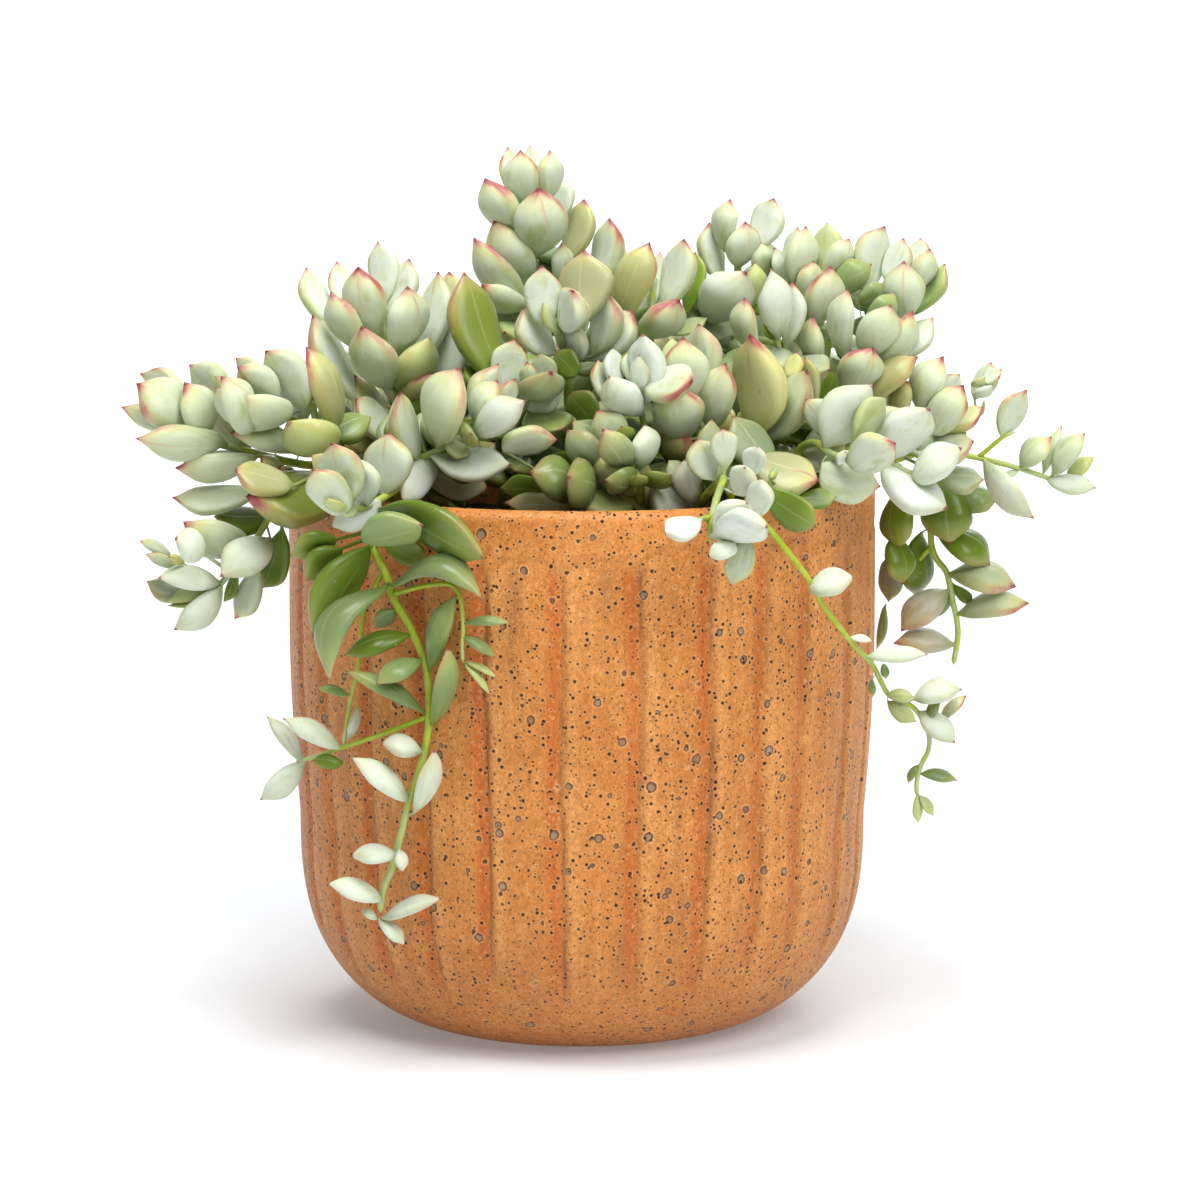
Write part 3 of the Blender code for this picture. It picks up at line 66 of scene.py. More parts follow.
# Each branch: "root x y", then "stem half-width" lines of sheet points with their depth
# (y in mm, negative to the front; "m" points are plain x y z), then its leaves:
# tip, foot, width, lean towards the front in degrees, tint and an optional sideways bend.
# Tints: f frosted, w white-frosted, m mid green, g glossy green, l lime, y amber, o olive
# with a red edge, k dark olive, s shaded grey-green, p pinkish grey.
SHEET = """
branch left_arm
root -38 -9
stem 5 345,470,-17 300,464,-26 250,452,-32 205,440,-33 170,428,-33
121 407 187 432 24 5 f
140 373 181 400 26 -25 f
137 383 179 424 44 20 f
190 364 222 400 36 -20 f
184 382 205 436 36 20 f
134 438 219 441 34 25 f
204 400 240 450 30 5 o
231 432 290 445 27 30 f
227 422 262 430 18 10 f
175 468 248 460 28 15 f
181 462 240 455 20 0 s
172 498 240 494 28 10 f
183 522 238 545 38 25 f
branch left_crown
root -40 2
stem 5 325,440,-18 282,415,-32 250,398,-38
215 387 240 420 26 10 f
222 376 245 425 32 20 f
237 367 272 395 30 20 f
236 358 262 385 20 -10 f
234 398 283 416 42 45 f
265 351 300 395 36 10 f
281 374 300 417 33 25 f
215 376 238 395 14 0 o
branch left_shoulder
root -47 -18
stem 5 332,463,-28 318,430,-34 312,400,-34
295 360 312 388 22 -5 y
307 346 335 420 30 5 o
287 423 330 440 42 40 l
235 470 284 484 28 25 o
246 498 326 489 56 35 k
278 468 300 490 27 20 o
261 455 285 478 22 10 o
214 516 262 520 42 15 g
branch left_lower
root -42 -28
stem 4 335,474,-33 285,498,-37 255,540,-39 218,585,-39 196,580,-39
220 577 268 542 42 30 w
175 538 202 553 34 40 w
140 541 166 554 12 0 f
145 554 175 565 12 10 f
168 556 182 562 10 30 y
158 578 218 583 28 20 w
147 582 190 592 26 -10 s
165 602 215 589 14 10 l
168 607 213 592 10 0 l
175 631 219 591 28 15 w
234 619 254 580 26 -5 f
262 588 280 546 30 -20 g
224 602 236 575 12 -20 g
branch crown_left
root -30 4
stem 5 400,430,-12 398,392,-13 388,350,-15 378,305,-17
305 268 328 319 28 -15 f
336 262 348 305 24 -25 f
358 267 372 328 42 25 f
378 241 385 290 29 -10 f
410 259 392 305 28 -5 f
331 291 358 339 30 15 f
407 286 401 344 38 20 f
312 315 352 386 34 10 f
362 325 385 381 43 35 f
440 272 425 345 32 -10 f
450 272 443 315 26 -30 o
430 336 400 383 38 25 l
461 313 444 375 36 0 f
433 374 405 398 22 30 o
353 375 388 430 34 15 o
356 398 392 434 30 25 f
334 419 385 440 32 20 y
branch mid_left
root -28 -30
stem 4 405,472,-40 418,459,-43 437,451,-45 463,436,-47 490,423,-48
450 397 440 441 27 -10 w
461 367 440 438 46 20 f
497 363 480 420 34 -15 f
497 380 478 420 36 10 f
515 378 500 415 20 0 f
526 400 482 430 34 30 w
512 465 438 456 32 20 w
401 501 434 462 33 30 w
470 455 448 440 20 10 l
488 489 430 475 35 5 f
399 392 419 457 29 30 f
branch front_left
root -40 -34
stem 4.5 405,480,-44 393,491,-53 362,509,-62 347,502,-68
332 442 350 498 42 10 f
388 432 384 492 48 5 f
312 469 342 508 38 25 f
311 455 335 475 20 -20 o
357 458 366 500 26 30 w
331 527 380 503 34 20 w
326 498 344 508 13 50 l
340 487 347 506 16 50 l
341 512 354 508 11 50 l
branch strand_left
root -38 -40
stem 4.3 388,486,-47 374,520,-57 373,547,-60 383,566,-61 393,597,-62 409,625,-63 424,659,-64 428,681,-64 429,720,-65 423,757,-65 409,802,-65 397,850,-64 389,878,-63 383,889,-62 380,922,-61
stem 2.8 426,717,-64.5 385,733,-62 344,747,-56 301,761,-48
stem 2.6 384,570,-61 369,597,-58 362,620,-57 359,662,-57 352,692,-56 343,746,-55.5
stem 2.6 393,594,-62 430,585,-66 456,588,-70 463,622,-71 462,655,-71 465,668,-71
423 525 365 540 40 25 m
484 560 390 512 46 30 g
313 638 369 547 45 10 g
290 555 335 540 30 0 g
306 580 340 550 34 0 g
428 566 388 545 26 -5 g
484 603 396 587 28 28 m 24
329 683 383 591 34 20 m -20
343 655 406 636 22 5 g
376 684 418 662 24 25 m
344 671 423 712 18 5 m
447 646 435 719 26 20 m
456 593 432 663 24 15 m
375 628 394 611 18 -10 m
381 744 419 751 24 15 w
352 756 406 800 24 10 w
434 749 417 808 24 20 w
351 857 394 855 22 15 w
402 872 399 850 14 20 w
327 884 379 899 24 15 w
442 899 385 919 20 10 w
405 945 380 922 16 5 w
361 909 376 919 10 0 w
283 718 336 747 23 10 w
267 716 301 760 17 5 w
260 800 303 764 26 5 w
312 760 342 764 16 0 g
317 688 347 695 10 5 m
357 706 349 738 11 0 w
510 622 464 624 11 5 m
495 657 463 637 14 5 m
496 678 465 662 8 5 l
490 695 465 665 8 5 l
branch spike
root -8 14
stem 5 528,345,8 530,305,8 534,265,7 530,225,6 527,190,5
508 146 515 191 20 -10 f
520 150 525 198 34 15 f
530 144 530 185 20 -20 f
550 150 548 190 22 5 f
485 178 515 226 34 10 f
510 188 520 210 20 -20 s
539 188 537 250 49 30 f
555 177 560 212 30 -15 f
584 199 570 250 30 -5 o
493 221 530 275 36 20 f
473 238 522 300 32 10 f
609 218 600 275 32 0 f
562 243 560 275 40 10 f
481 285 522 305 26 25 f
485 312 520 315 20 0 s
625 246 612 275 12 -10 l
branch centre
root -4 -4
stem 5 568,400,-14 566,365,-19 560,335,-26 557,318,-30
585 249 580 312 56 -10 o
542 265 545 322 37 5 f
573 290 562 326 40 35 f
580 294 572 326 24 20 f
543 303 560 333 14 30 l
570 320 568 362 45 30 w
523 307 545 348 34 15 f
607 293 600 342 34 10 f
634 312 600 349 40 10 f
branch inner_left
root -16 -22
stem 5 530,440,-26 528,410,-29 527,385,-31
464 272 490 362 45 -10 k
465 365 485 385 22 -10 g
515 338 505 385 34 5 f
527 361 528 384 18 35 f
539 353 548 388 26 0 s
560 382 530 411 24 25 w
570 392 592 420 34 -10 g
555 350 575 372 30 -10 g
branch back_middle
root 10 2
stem 5 652,380,-6 650,340,-8 652,300,-9 655,275,-9
650 242 625 305 38 5 o
660 251 652 300 22 -15 f
685 239 668 298 33 0 f
679 299 646 332 48 30 f
695 252 690 300 22 -20 g
708 318 675 330 14 -5 l
branch crown_middle
root 22 12
stem 5 738,330,4 738,290,4 738,255,3 742,225,2
731 199 725 240 26 5 f
774 198 757 240 31 0 f
710 222 716 269 26 0 f
746 222 738 262 32 25 f
764 239 762 273 27 10 f
775 247 783 285 19 10 w
755 262 755 300 20 15 l
746 272 712 308 48 35 w
738 335 702 338 24 -15 s
branch bud_middle
root 36 -4
stem 4 792,410,-12 786,370,-15 775,335,-17 772,305,-18
772 269 778 331 30 20 w
765 285 772 328 18 10 f
791 281 788 337 24 0 f
744 298 750 342 24 15 f
765 320 780 340 14 0 g
795 340 788 372 20 -15 s
branch amber
root 30 -14
stem 5 765,460,-26 760,435,-30 757,415,-32
752 333 755 433 50 15 y
809 370 764 440 36 20 f
805 356 812 400 16 -5 o
797 352 790 375 24 -10 y
726 362 712 418 36 25 f
739 417 750 448 24 30 f
branch centre_right
root 16 -22
stem 5 700,455,-32 695,420,-36 690,385,-38
700 323 700 385 36 5 f
683 337 683 397 46 20 f
675 386 680 428 50 35 f
676 414 680 459 50 40 o
672 337 675 370 20 -10 l
725 404 722 428 20 20 y
branch buds
root 8 -26
stem 4 650,455,-40 643,422,-44 639,395,-46 640,372,-47
597 359 605 395 16 0 f
609 375 634 408 34 25 w
612 348 618 380 20 5 w
629 350 632 380 16 -5 f
639 354 640 391 19 30 w
642 334 645 395 32 10 w
branch pocket_right
root 12 -40
stem 5 641,490,-48 630,460,-48 620,440,-47
645 424 643 459 27 20 w
622 450 648 508 38 15 y
597 409 625 448 38 0 f
567 430 600 460 30 5 s
600 452 615 485 28 5 o
branch pocket_front
root 10 -41
stem 5 626,498,-44 602,495,-46 572,496,-47
563 482 631 503 38 10 l
550 474 600 498 28 -10 g
503 503 568 506 24 -5 o
558 440 506 446 27 5 f
500 488 545 490 26 -20 g
545 462 590 470 24 -25 g
branch front_right
root 24 -42
stem 4.5 722,478,-61 716,500,-74 711,520,-82
stem 4 711,516,-81 711,544,-84
stem 3.6 712,518,-81 697,519,-84
686 458 695 495 40 20 w
745 467 740 490 28 40 w
757 446 752 470 30 20 w
761 478 755 512 28 10 w
748 502 722 530 44 30 w
768 527 725 532 38 35 w
650 483 690 510 44 20 w
664 532 694 522 43 30 w
722 428 725 458 40 5 f
697 439 710 475 34 15 f
709 558 733 548 19 20 w
730 586 745 545 28 5 f
730 545 715 528 10 10 g
668 460 684 478 18 -10 f
branch rim_right
root 34 -36
stem 5 775,470,-50 768,482,-60
819 480 760 462 58 20 o
816 527 775 500 34 10 g
836 497 805 500 20 -10 g
branch strand_right
root 33 -44
stem 3.2 738,480,-63 752,510,-72 770,530,-74 810,581,-71 822,604,-69 851,642,-61 873,666,-55 888,694,-51 905,703,-49 918,712,-48 930,742,-47 918,773,-47 917,797,-47
854 577 810 590 30 10 w
873 641 851 638 9 0 w
928 654 868 657 17 10 w
914 697 888 695 14 20 l
916 722 889 703 18 15 l
962 689 917 698 26 10 w
966 695 942 720 14 -5 f
940 703 928 716 18 20 m
955 743 920 712 26 15 w
908 783 917 766 9 5 m
958 780 921 774 14 5 m
918 823 917 797 11 5 l
934 816 920 797 11 5 l
886 679 884 664 9 -10 m
873 697 872 680 8 0 m
branch right_front
root 42 -26
stem 5 805,445,-36 832,455,-45 850,458,-50
843 428 800 462 54 25 f
872 384 825 445 50 5 w
806 399 830 430 30 -10 f
896 442 855 466 44 20 f
881 487 825 475 44 5 f
846 452 842 462 12 50 w
885 398 862 430 30 -20 l
branch right_arm
root 46 -18
stem 4.5 860,460,-38 891,465,-44 919,477,-46 935,478,-46
930 409 893 452 38 15 w
905 408 868 440 30 -5 f
947 510 888 473 38 20 w
962 448 918 480 34 10 w
942 474 921 478 12 20 l
branch right_crown
root 40 4
stem 5 815,380,-8 817,340,-7 815,300,-5 808,265,-3
814 315 812 372 28 25 f
831 265 815 323 37 20 f
814 261 803 296 27 0 f
806 226 795 280 31 0 f
798 227 790 260 28 -10 f
827 222 822 262 30 -10 l
850 239 830 268 35 0 f
828 320 822 370 16 -15 g
branch right_top
root 46 0
stem 5 850,400,-14 858,365,-14 868,335,-13
849 288 842 344 27 15 f
873 347 852 382 46 30 f
891 305 870 348 40 25 f
895 293 872 318 36 5 m
912 310 885 360 30 5 f
933 317 900 352 26 -5 f
882 283 862 300 30 -5 m
835 372 825 400 20 -20 g
branch right_back
root 44 10
stem 5 878,360,-2 885,320,-4 893,290,-4 898,265,-4
872 264 838 286 30 5 m
885 226 866 279 34 -10 f
904 238 888 280 27 -5 f
921 238 915 262 19 -15 f
931 249 915 283 27 5 f
946 264 918 304 24 0 m
904 261 900 314 42 20 f
branch right_middle
root 48 -6
stem 5 880,440,-16 905,425,-18 925,410,-18
918 356 872 395 28 10 o
908 381 898 412 30 5 o
943 356 920 407 34 0 f
963 385 935 428 36 15 f
960 374 945 395 20 -10 f
974 442 925 450 34 5 f
984 408 940 425 22 0 o
965 425 950 440 24 -10 o
905 352 880 385 26 -15 s
933 435 920 450 16 10 s
984 480 945 475 26 0 s
branch right_far
root 50 4
stem 3.6 925,452,-8 973,457,-9 1018,468,-10 1052,479,-10 1067,480,-10
stem 2.6 979,457,-9 1003,437,-12 1016,432,-12
stem 2.4 930,452,-8 962,425,-8 982,413,-9 984,400,-9 979,390,-9
1027 389 1002 436 28 5 f
1052 437 1022 466 30 5 f
1062 425 1045 470 14 -10 f
1085 433 1055 472 24 10 f
1094 457 1068 478 16 5 l
1096 488 1050 482 22 10 w
1034 519 985 462 28 15 w
1003 479 1018 471 8 0 f
991 362 975 397 24 -5 f
1002 369 982 382 14 5 f
985 377 972 386 10 30 l
993 385 975 396 12 30 w
branch right_hanging
root 52 10
stem 4 m58,8,134 m68,5,135 905,482,2 928,520,2 933,553,2 946,571,2 953,603,2 958,632,2 952,673,2
stem 2.6 932,545,2 915,565,4 899,587,4 884,608,4
898 548 900 500 46 10 g
950 544 945 490 52 15 g
990 566 945 535 50 5 g
997 500 960 505 34 0 m
903 584 895 545 33 10 g
915 596 915 548 32 -10 g
888 602 888 565 22 -5 s
1016 586 956 575 34 5 f
1029 602 964 613 26 5 f
901 631 945 592 28 10 p
893 644 950 645 24 5 p
932 618 948 600 16 -10 g
970 605 958 590 18 -10 g
876 650 884 608 9 0 m
"""

# The crown's skyline on the sheet (x, highest y); back branches stay under it.
SKYLINE = [(300, 330), (330, 300), (400, 285), (455, 320), (480, 300), (520, 190), (545, 200), (590, 250), (640, 285), (700, 270), (760, 245), (800, 262), (850, 262), (900, 275), (930, 345)]

# Back branches: root x y, then the point where the crown of leaves ends, its height and
# the number of leaf pairs along it.
BACK = [
    (-46, 20, -78, 34, 152, 5),
    (-36, 34, -58, 66, 150, 5),
    (-20, 42, -30, 84, 146, 5),
    (2, 46, 2, 92, 148, 5),
    (22, 42, 34, 86, 150, 5),
    (38, 34, 62, 64, 152, 5),
    (48, 20, 80, 36, 148, 5),
    (-12, 26, -24, 44, 172, 6),
    (14, 26, 12, 48, 176, 6),
    (36, 20, 44, 34, 172, 6),
    (-30, 20, -44, 30, 168, 5),
    (-48, 34, -70, 52, 138, 5),
    (9, 54, 8, 98, 138, 5),
    (33, 47, 50, 76, 136, 5),
    (0, 34, -6, 60, 164, 5),
    (26, 30, 30, 52, 166, 5),
]
# Trailing shoots behind the pot: root x y, then the way down outside the wall.
TRAIL = [
    (-30, 48, [(-40, 58, 136), (-48, 68, 124), (-50, 66, 96), (-46, 66, 70)]),
    (12, 52, [(18, 62, 136), (22, 78, 126), (24, 78, 100), (20, 76, 66), (24, 74, 44)]),
    (42, 40, [(50, 50, 136), (58, 58, 124), (58, 56, 98), (52, 60, 78)]),
]

THICK = 0.46  # leaf thickness over its width


def on_sheet(px, py, depth):
    """The point that stands at px, py on the sheet, at the given depth."""
    across, up = (px - 600) / REACH, (600 - py) / REACH
    far = (depth - EYE[1]) / (math.cos(PITCH) + up * math.sin(PITCH))
    return EYE + far * np.array(
        [across, math.cos(PITCH) + up * math.sin(PITCH), up * math.cos(PITCH) - math.sin(PITCH)]
    )


def to_sheet(p):
    d = np.asarray(p, float) - EYE
    far = d[1] * math.cos(PITCH) - d[2] * math.sin(PITCH)
    up = d[1] * math.sin(PITCH) + d[2] * math.cos(PITCH)
    return 600 + REACH * d[0] / far, 600 - REACH * up / far


def unit(v):
    n = np.linalg.norm(v)
    return v / n if n > 1e-9 else v


def outer_r(z):
    """Outer radius of the cup at height z, over the ribs."""
    z = np.asarray(z, float)
    s = np.clip((BELLY_Z - z) / BELLY_Z, 0, 1)
    low = FOOT_R + (BELLY_R - FOOT_R) * (1 - s**2.79) ** (1 / 1.62)
    t = np.clip((z - BELLY_Z) / (0.78 * POT_H - BELLY_Z), 0, 1)
    return np.where(z < BELLY_Z, low, BELLY_R + (POT_R - BELLY_R) * t * (2 - t))


def smooth(points, step):
    """Points every step along a smooth curve through the given ones."""
    p = [np.asarray(q, float) for q in points]
    p = [2 * p[0] - p[1], *p, 2 * p[-1] - p[-2]]
    out = []
    for a, b, c, d in zip(p, p[1:], p[2:], p[3:]):
        n = max(1, int(round(np.linalg.norm(c - b) / step)))
        for k in range(n):
            t = k / n
            out.append(
                0.5 * (2 * b + (c - a) * t + (2 * a - 5 * b + 4 * c - d) * t * t + (3 * b - a - 3 * c + d) * t**3)
            )
    out.append(p[-2])
    return np.array(out)


def spot(text):
    if text[0] == "m":
        return np.array([float(v) for v in text[1:].split(",")])
    px, py, depth = (float(v) for v in text.split(","))
    return on_sheet(px, py, depth)


def read_sheet():
    """[name, [(half-width, points)], [leaf rows]] of each front branch."""
    found = []
    for line in SHEET.strip().splitlines():
        word = line.split()
        if word[0] == "branch":
            found.append([word[1], [], []])
        elif word[0] == "root":
            root = np.array([float(word[1]), float(word[2]), SOIL_Z + ROOT_GAP])
        elif word[0] == "stem":
            points = [spot(w) for w in word[2:]]
            if not found[-1][1]:
                rise = root + np.array([0, 0, 6.0])
                points = [root, rise, *points]
            found[-1][1].append((float(word[1]) * UNIT, points))
        else:
            found[-1][2].append(word)
    return found


def nearest(stems, p, flat=None):
    """The stem point nearest to p, or nearest on the sheet to flat, and the way it grows there."""
    best = None
    for radius, line in stems:
        if flat is None:
            d = np.linalg.norm(line - p, axis=1)
        else:
            d = np.array([math.dist(to_sheet(q), flat) for q in line])
        k = int(d.argmin())
        if best is None or d[k] < best[0]:
            ahead = line[min(k + 1, len(line) - 1)] - line[max(k - 1, 0)]
            best = (d[k], line[k], unit(ahead), radius)
    return best[1:]


class Leaf:
    def __init__(self, branch, foot, tip, width, tint, grow, joint, bend=0.0, wide_limit=50.0):
        self.branch, self.tint, self.bend = branch, tint, bend
        self.foot, self.tip, self.joint = foot, tip, joint
        self.plain = False
        self.stalked = False
        axis = tip - foot
        self.length = float(np.linalg.norm(axis))
        a = axis / self.length
        eye = unit(EYE - (foot + tip) / 2)
        front = unit(eye - a * float(eye @ a))
        side = np.cross(front, a)
        middle = (foot + tip) / 2
        inward = joint + grow * float((middle - joint) @ grow) - middle
        n = 0.9 * (grow - a * float(grow @ a)) + 0.08 * (inward - a * float(inward @ a))
        n = unit(n) if np.linalg.norm(n) > 1e-6 else front
        turn = math.degrees(math.atan2(float(n @ side), float(n @ front)))
        if branch >= 0 and abs(turn) < 90:
            turn = max(-wide_limit, min(wide_limit, turn))
        elif branch >= 0:
            away = math.copysign(180 - abs(turn), turn)
            turn = math.copysign(180 - min(abs(away), wide_limit), turn)
        turn = math.radians(turn)
        self.normal = front * math.cos(turn) + side * math.sin(turn)
        self.lateral = side
        share = math.sqrt(math.cos(turn) ** 2 + (THICK * math.sin(turn)) ** 2)
        self.width = min(width / share, 0.9 * self.length, 17.0)

    def centre(self, t):
        bow = -0.06 * self.length * self.normal + self.bend * self.lateral
        return self.foot + (self.tip - self.foot) * t + 4 * t * (1 - t) * bow

    def balls(self):
        """Centres and radii of balls that fill the leaf."""
        a = unit(self.tip - self.foot)
        across = np.cross(self.normal, a)
        c, r = [], []
        for t, f in ((0.16, 0.6), (0.36, 0.92), (0.56, 1.0), (0.74, 0.86), (0.9, 0.5)):
            half = self.width / 2 * f
            thick = self.width * THICK / 2 * f
            for s in (-0.55, 0.0, 0.55):
                c.append(self.centre(t) + across * half * s - self.normal * 0.12 * self.width * THICK)
                r.append(thick * (0.98 if s == 0 else 0.8))
        return np.array(c), np.array(r)

    def move(self, v):
        self.foot = self.foot + v
        self.tip = self.tip + v


def front_branches():
    branches, leaves = [], []
    for index, (name, stems, rows) in enumerate(read_sheet()):
        lines = [(r, smooth(p, 2.0)) for r, p in stems]
        branches.append([name, lines])
        for row in rows:
            tx, ty, bx, by, w, lean = (float(v) for v in row[:6])
            bend = float(row[7]) * UNIT if len(row) > 7 else 0.0
            joint, grow, radius = nearest(lines, None, (bx, by))
            jx, jy = to_sheet(joint)
            rise = math.tan(math.radians(lean))
            reach = math.dist((bx, by), (jx, jy)) * UNIT
            depth = joint[1] - min(reach, 9.0) * rise - math.copysign(radius, lean) * min(1, abs(lean) / 15)
            foot = on_sheet(bx, by, depth)
            tip = on_sheet(tx, ty, depth - math.dist((tx, ty), (bx, by)) * UNIT * rise)
            scale = (foot[1] - EYE[1]) / 1000.0
            leaves.append(Leaf(index, foot, tip, w * UNIT * scale, row[6], grow, joint, bend * scale))
            leaves[-1].stalked = name.startswith("strand") and w > 12
    return branches, leaves


def grown_pairs(index, line, radius, pairs, length, rng, start, trail):
    """Opposite leaves along a stem, each pair turned a quarter from the last."""
    made = []
    n = len(line)
    up = np.array([0.0, 0.0, 1.0])
    for k in range(pairs):
        share = start + (1 - start) * (k + 0.5) / pairs
        at = line[min(n - 1, int(share * (n - 1)))]
        i = min(n - 2, max(1, int(share * (n - 1))))
        grow = unit(line[i + 1] - line[i - 1])
        a = unit(np.cross(grow, up) if abs(grow @ up) < 0.95 else np.cross(grow, [0, 1.0, 0]))
        b = np.cross(grow, a)
        turn = math.pi / 2 * k + rng.uniform(-0.25, 0.25) + 0.6
        size = length * (1.0 - 0.35 * (k / max(1, pairs - 1)) ** 2) * rng.uniform(0.88, 1.08)
        lift = math.radians((28 if not trail else 38) + (34 if not trail else 12) * k / max(1, pairs - 1))
        for flip in (0, math.pi):
            out = a * math.cos(turn + flip) + b * math.sin(turn + flip)
            way = unit(out * math.cos(lift) + grow * math.sin(lift) + up * (0.12 if not trail else -0.1))
            foot = at + way * (radius + 1.2)
            leaf = Leaf(-2, foot, foot + way * size, size * rng.uniform(0.46, 0.58), "w" if trail and share > 0.6 else "f", grow, at)
            leaf.branch = index
            leaf.plain = True
            made.append(leaf)
    return made


def back_branches(first):
    """The side and back of the crown, which the sheet doesn't show."""
    rng = np.random.default_rng(7)
    branches, leaves = [], []
    for k, (x, y, ex, ey, ez, pairs) in enumerate(BACK):
        root = np.array([x, y, SOIL_Z + ROOT_GAP])
        end = np.array([ex, ey, ez])
        middle = root * 0.55 + end * 0.45 + np.array([0, 0, 10.0])
        if math.hypot(ex, ey) > 60:
            middle[2] = max(middle[2], POT_H + 7)
        line = smooth([root, root + np.array([0, 0, 7.0]), middle, end], 2.0)
        branches.append([f"back_{k + 1}", [(1.25, line)]])
        for leaf in grown_pairs(first + k, line, 1.25, pairs, 14.5, rng, 0.34, False):
            px, py = to_sheet(leaf.tip)
            sky = np.interp(px, [q[0] for q in SKYLINE], [q[1] for q in SKYLINE])
            low = py > 340
            hidden = (300 < px < 930 and py > sky + 14) or (low and 318 < px < 905)
            if hidden and not (py > 505 and not 300 < px < 868):
                leaves.append(leaf)
    for k, (x, y, way) in enumerate(TRAIL):
        root = np.array([x, y, SOIL_Z + ROOT_GAP])
        line = smooth([root, root + np.array([0, 0, 8.0]), *[np.array(p, float) for p in way]], 2.0)
        branches.append([f"trail_{k + 1}", [(0.95, line)]])
        for leaf in grown_pairs(first + len(BACK) + k, line, 0.95, 6, 12.0, rng, 0.42, True):
            px, py = to_sheet(leaf.tip)
            if 300 < px < 862 or py < 480 and 318 < px < 905:
                leaves.append(leaf)
    return branches, leaves


def out_of_pot(c, r):
    """How far each ball must move outwards (or inwards) to clear the cup, and how far up for the soil."""
    rad = np.hypot(c[:, 0], c[:, 1])
    need = np.zeros(len(c))
    low = c[:, 2] - r < POT_H + 0.4
    inner = POT_R - WALL
    outside = rad > POT_R - WALL / 2
    wall = outer_r(np.clip(c[:, 2], 0, POT_H))
    need = np.where(low & outside, np.maximum(0, wall + 0.5 + r - rad), need)
    need = np.where(low & ~outside, np.minimum(0, inner - 0.5 - r - rad), need)
    lift = np.where(rad < inner, np.maximum(0, SOIL_Z + 0.5 + r - c[:, 2]), 0)
    return need, lift


def part_stems(branches, rounds=60):
    """Bends stems a little to the front or back where two branches would cross."""
    home = np.concatenate([np.full(len(line), b) for b, (_, lines) in enumerate(branches) for _, line in lines])
    thick = np.concatenate([np.full(len(line), r) for _, lines in branches for r, line in lines])
    at = np.concatenate([line for _, lines in branches for _, line in lines])
    other = home[:, None] != home[None]
    for _ in range(rounds):
        d = np.linalg.norm(at[:, None] - at[None], axis=2) - thick[:, None] - thick[None] - 0.55
        d = np.where(other, d, 1.0)
        if d.min() >= 0:
            break
        push = np.zeros(len(at))
        for a in np.argsort(d.min(axis=1)):
            b = int(d[a].argmin())
            if d[a, b] >= 0:
                break
            if a > b and d[b].argmin() == a:
                continue
            way = 1.0 if at[a, 1] >= at[b, 1] else -1.0
            step = min(0.6, -d[a, b] * 0.7 + 0.05)
            for k, sign in ((a, way), (b, -way)):
                far = np.linalg.norm(at - at[k], axis=1)
                bump = sign * step * np.exp(-((far / 9.0) ** 2)) * (home == home[k])
                push = np.where(np.abs(bump) > np.abs(push), bump, push)
        at[:, 1] += push
        # stems stay clear of the cup
        rad = np.hypot(at[:, 0], at[:, 1])
        low = at[:, 2] < POT_H + 0.8 + thick
        inside = low & (rad < POT_R - WALL / 2)
        outside = low & (rad >= POT_R - WALL / 2)
        most = POT_R - WALL - 0.8 - thick
        least = outer_r(np.clip(at[:, 2], 0, POT_H)) + 0.8 + thick
        scale = np.where(inside, np.minimum(1, most / rad), np.where(outside, np.maximum(1, least / rad), 1))
        at[:, :2] *= scale[:, None]
    k = 0
    for _, lines in branches:
        for n, (r, line) in enumerate(lines):
            lines[n] = (r, at[k : k + len(line)].copy())
            k += len(line)


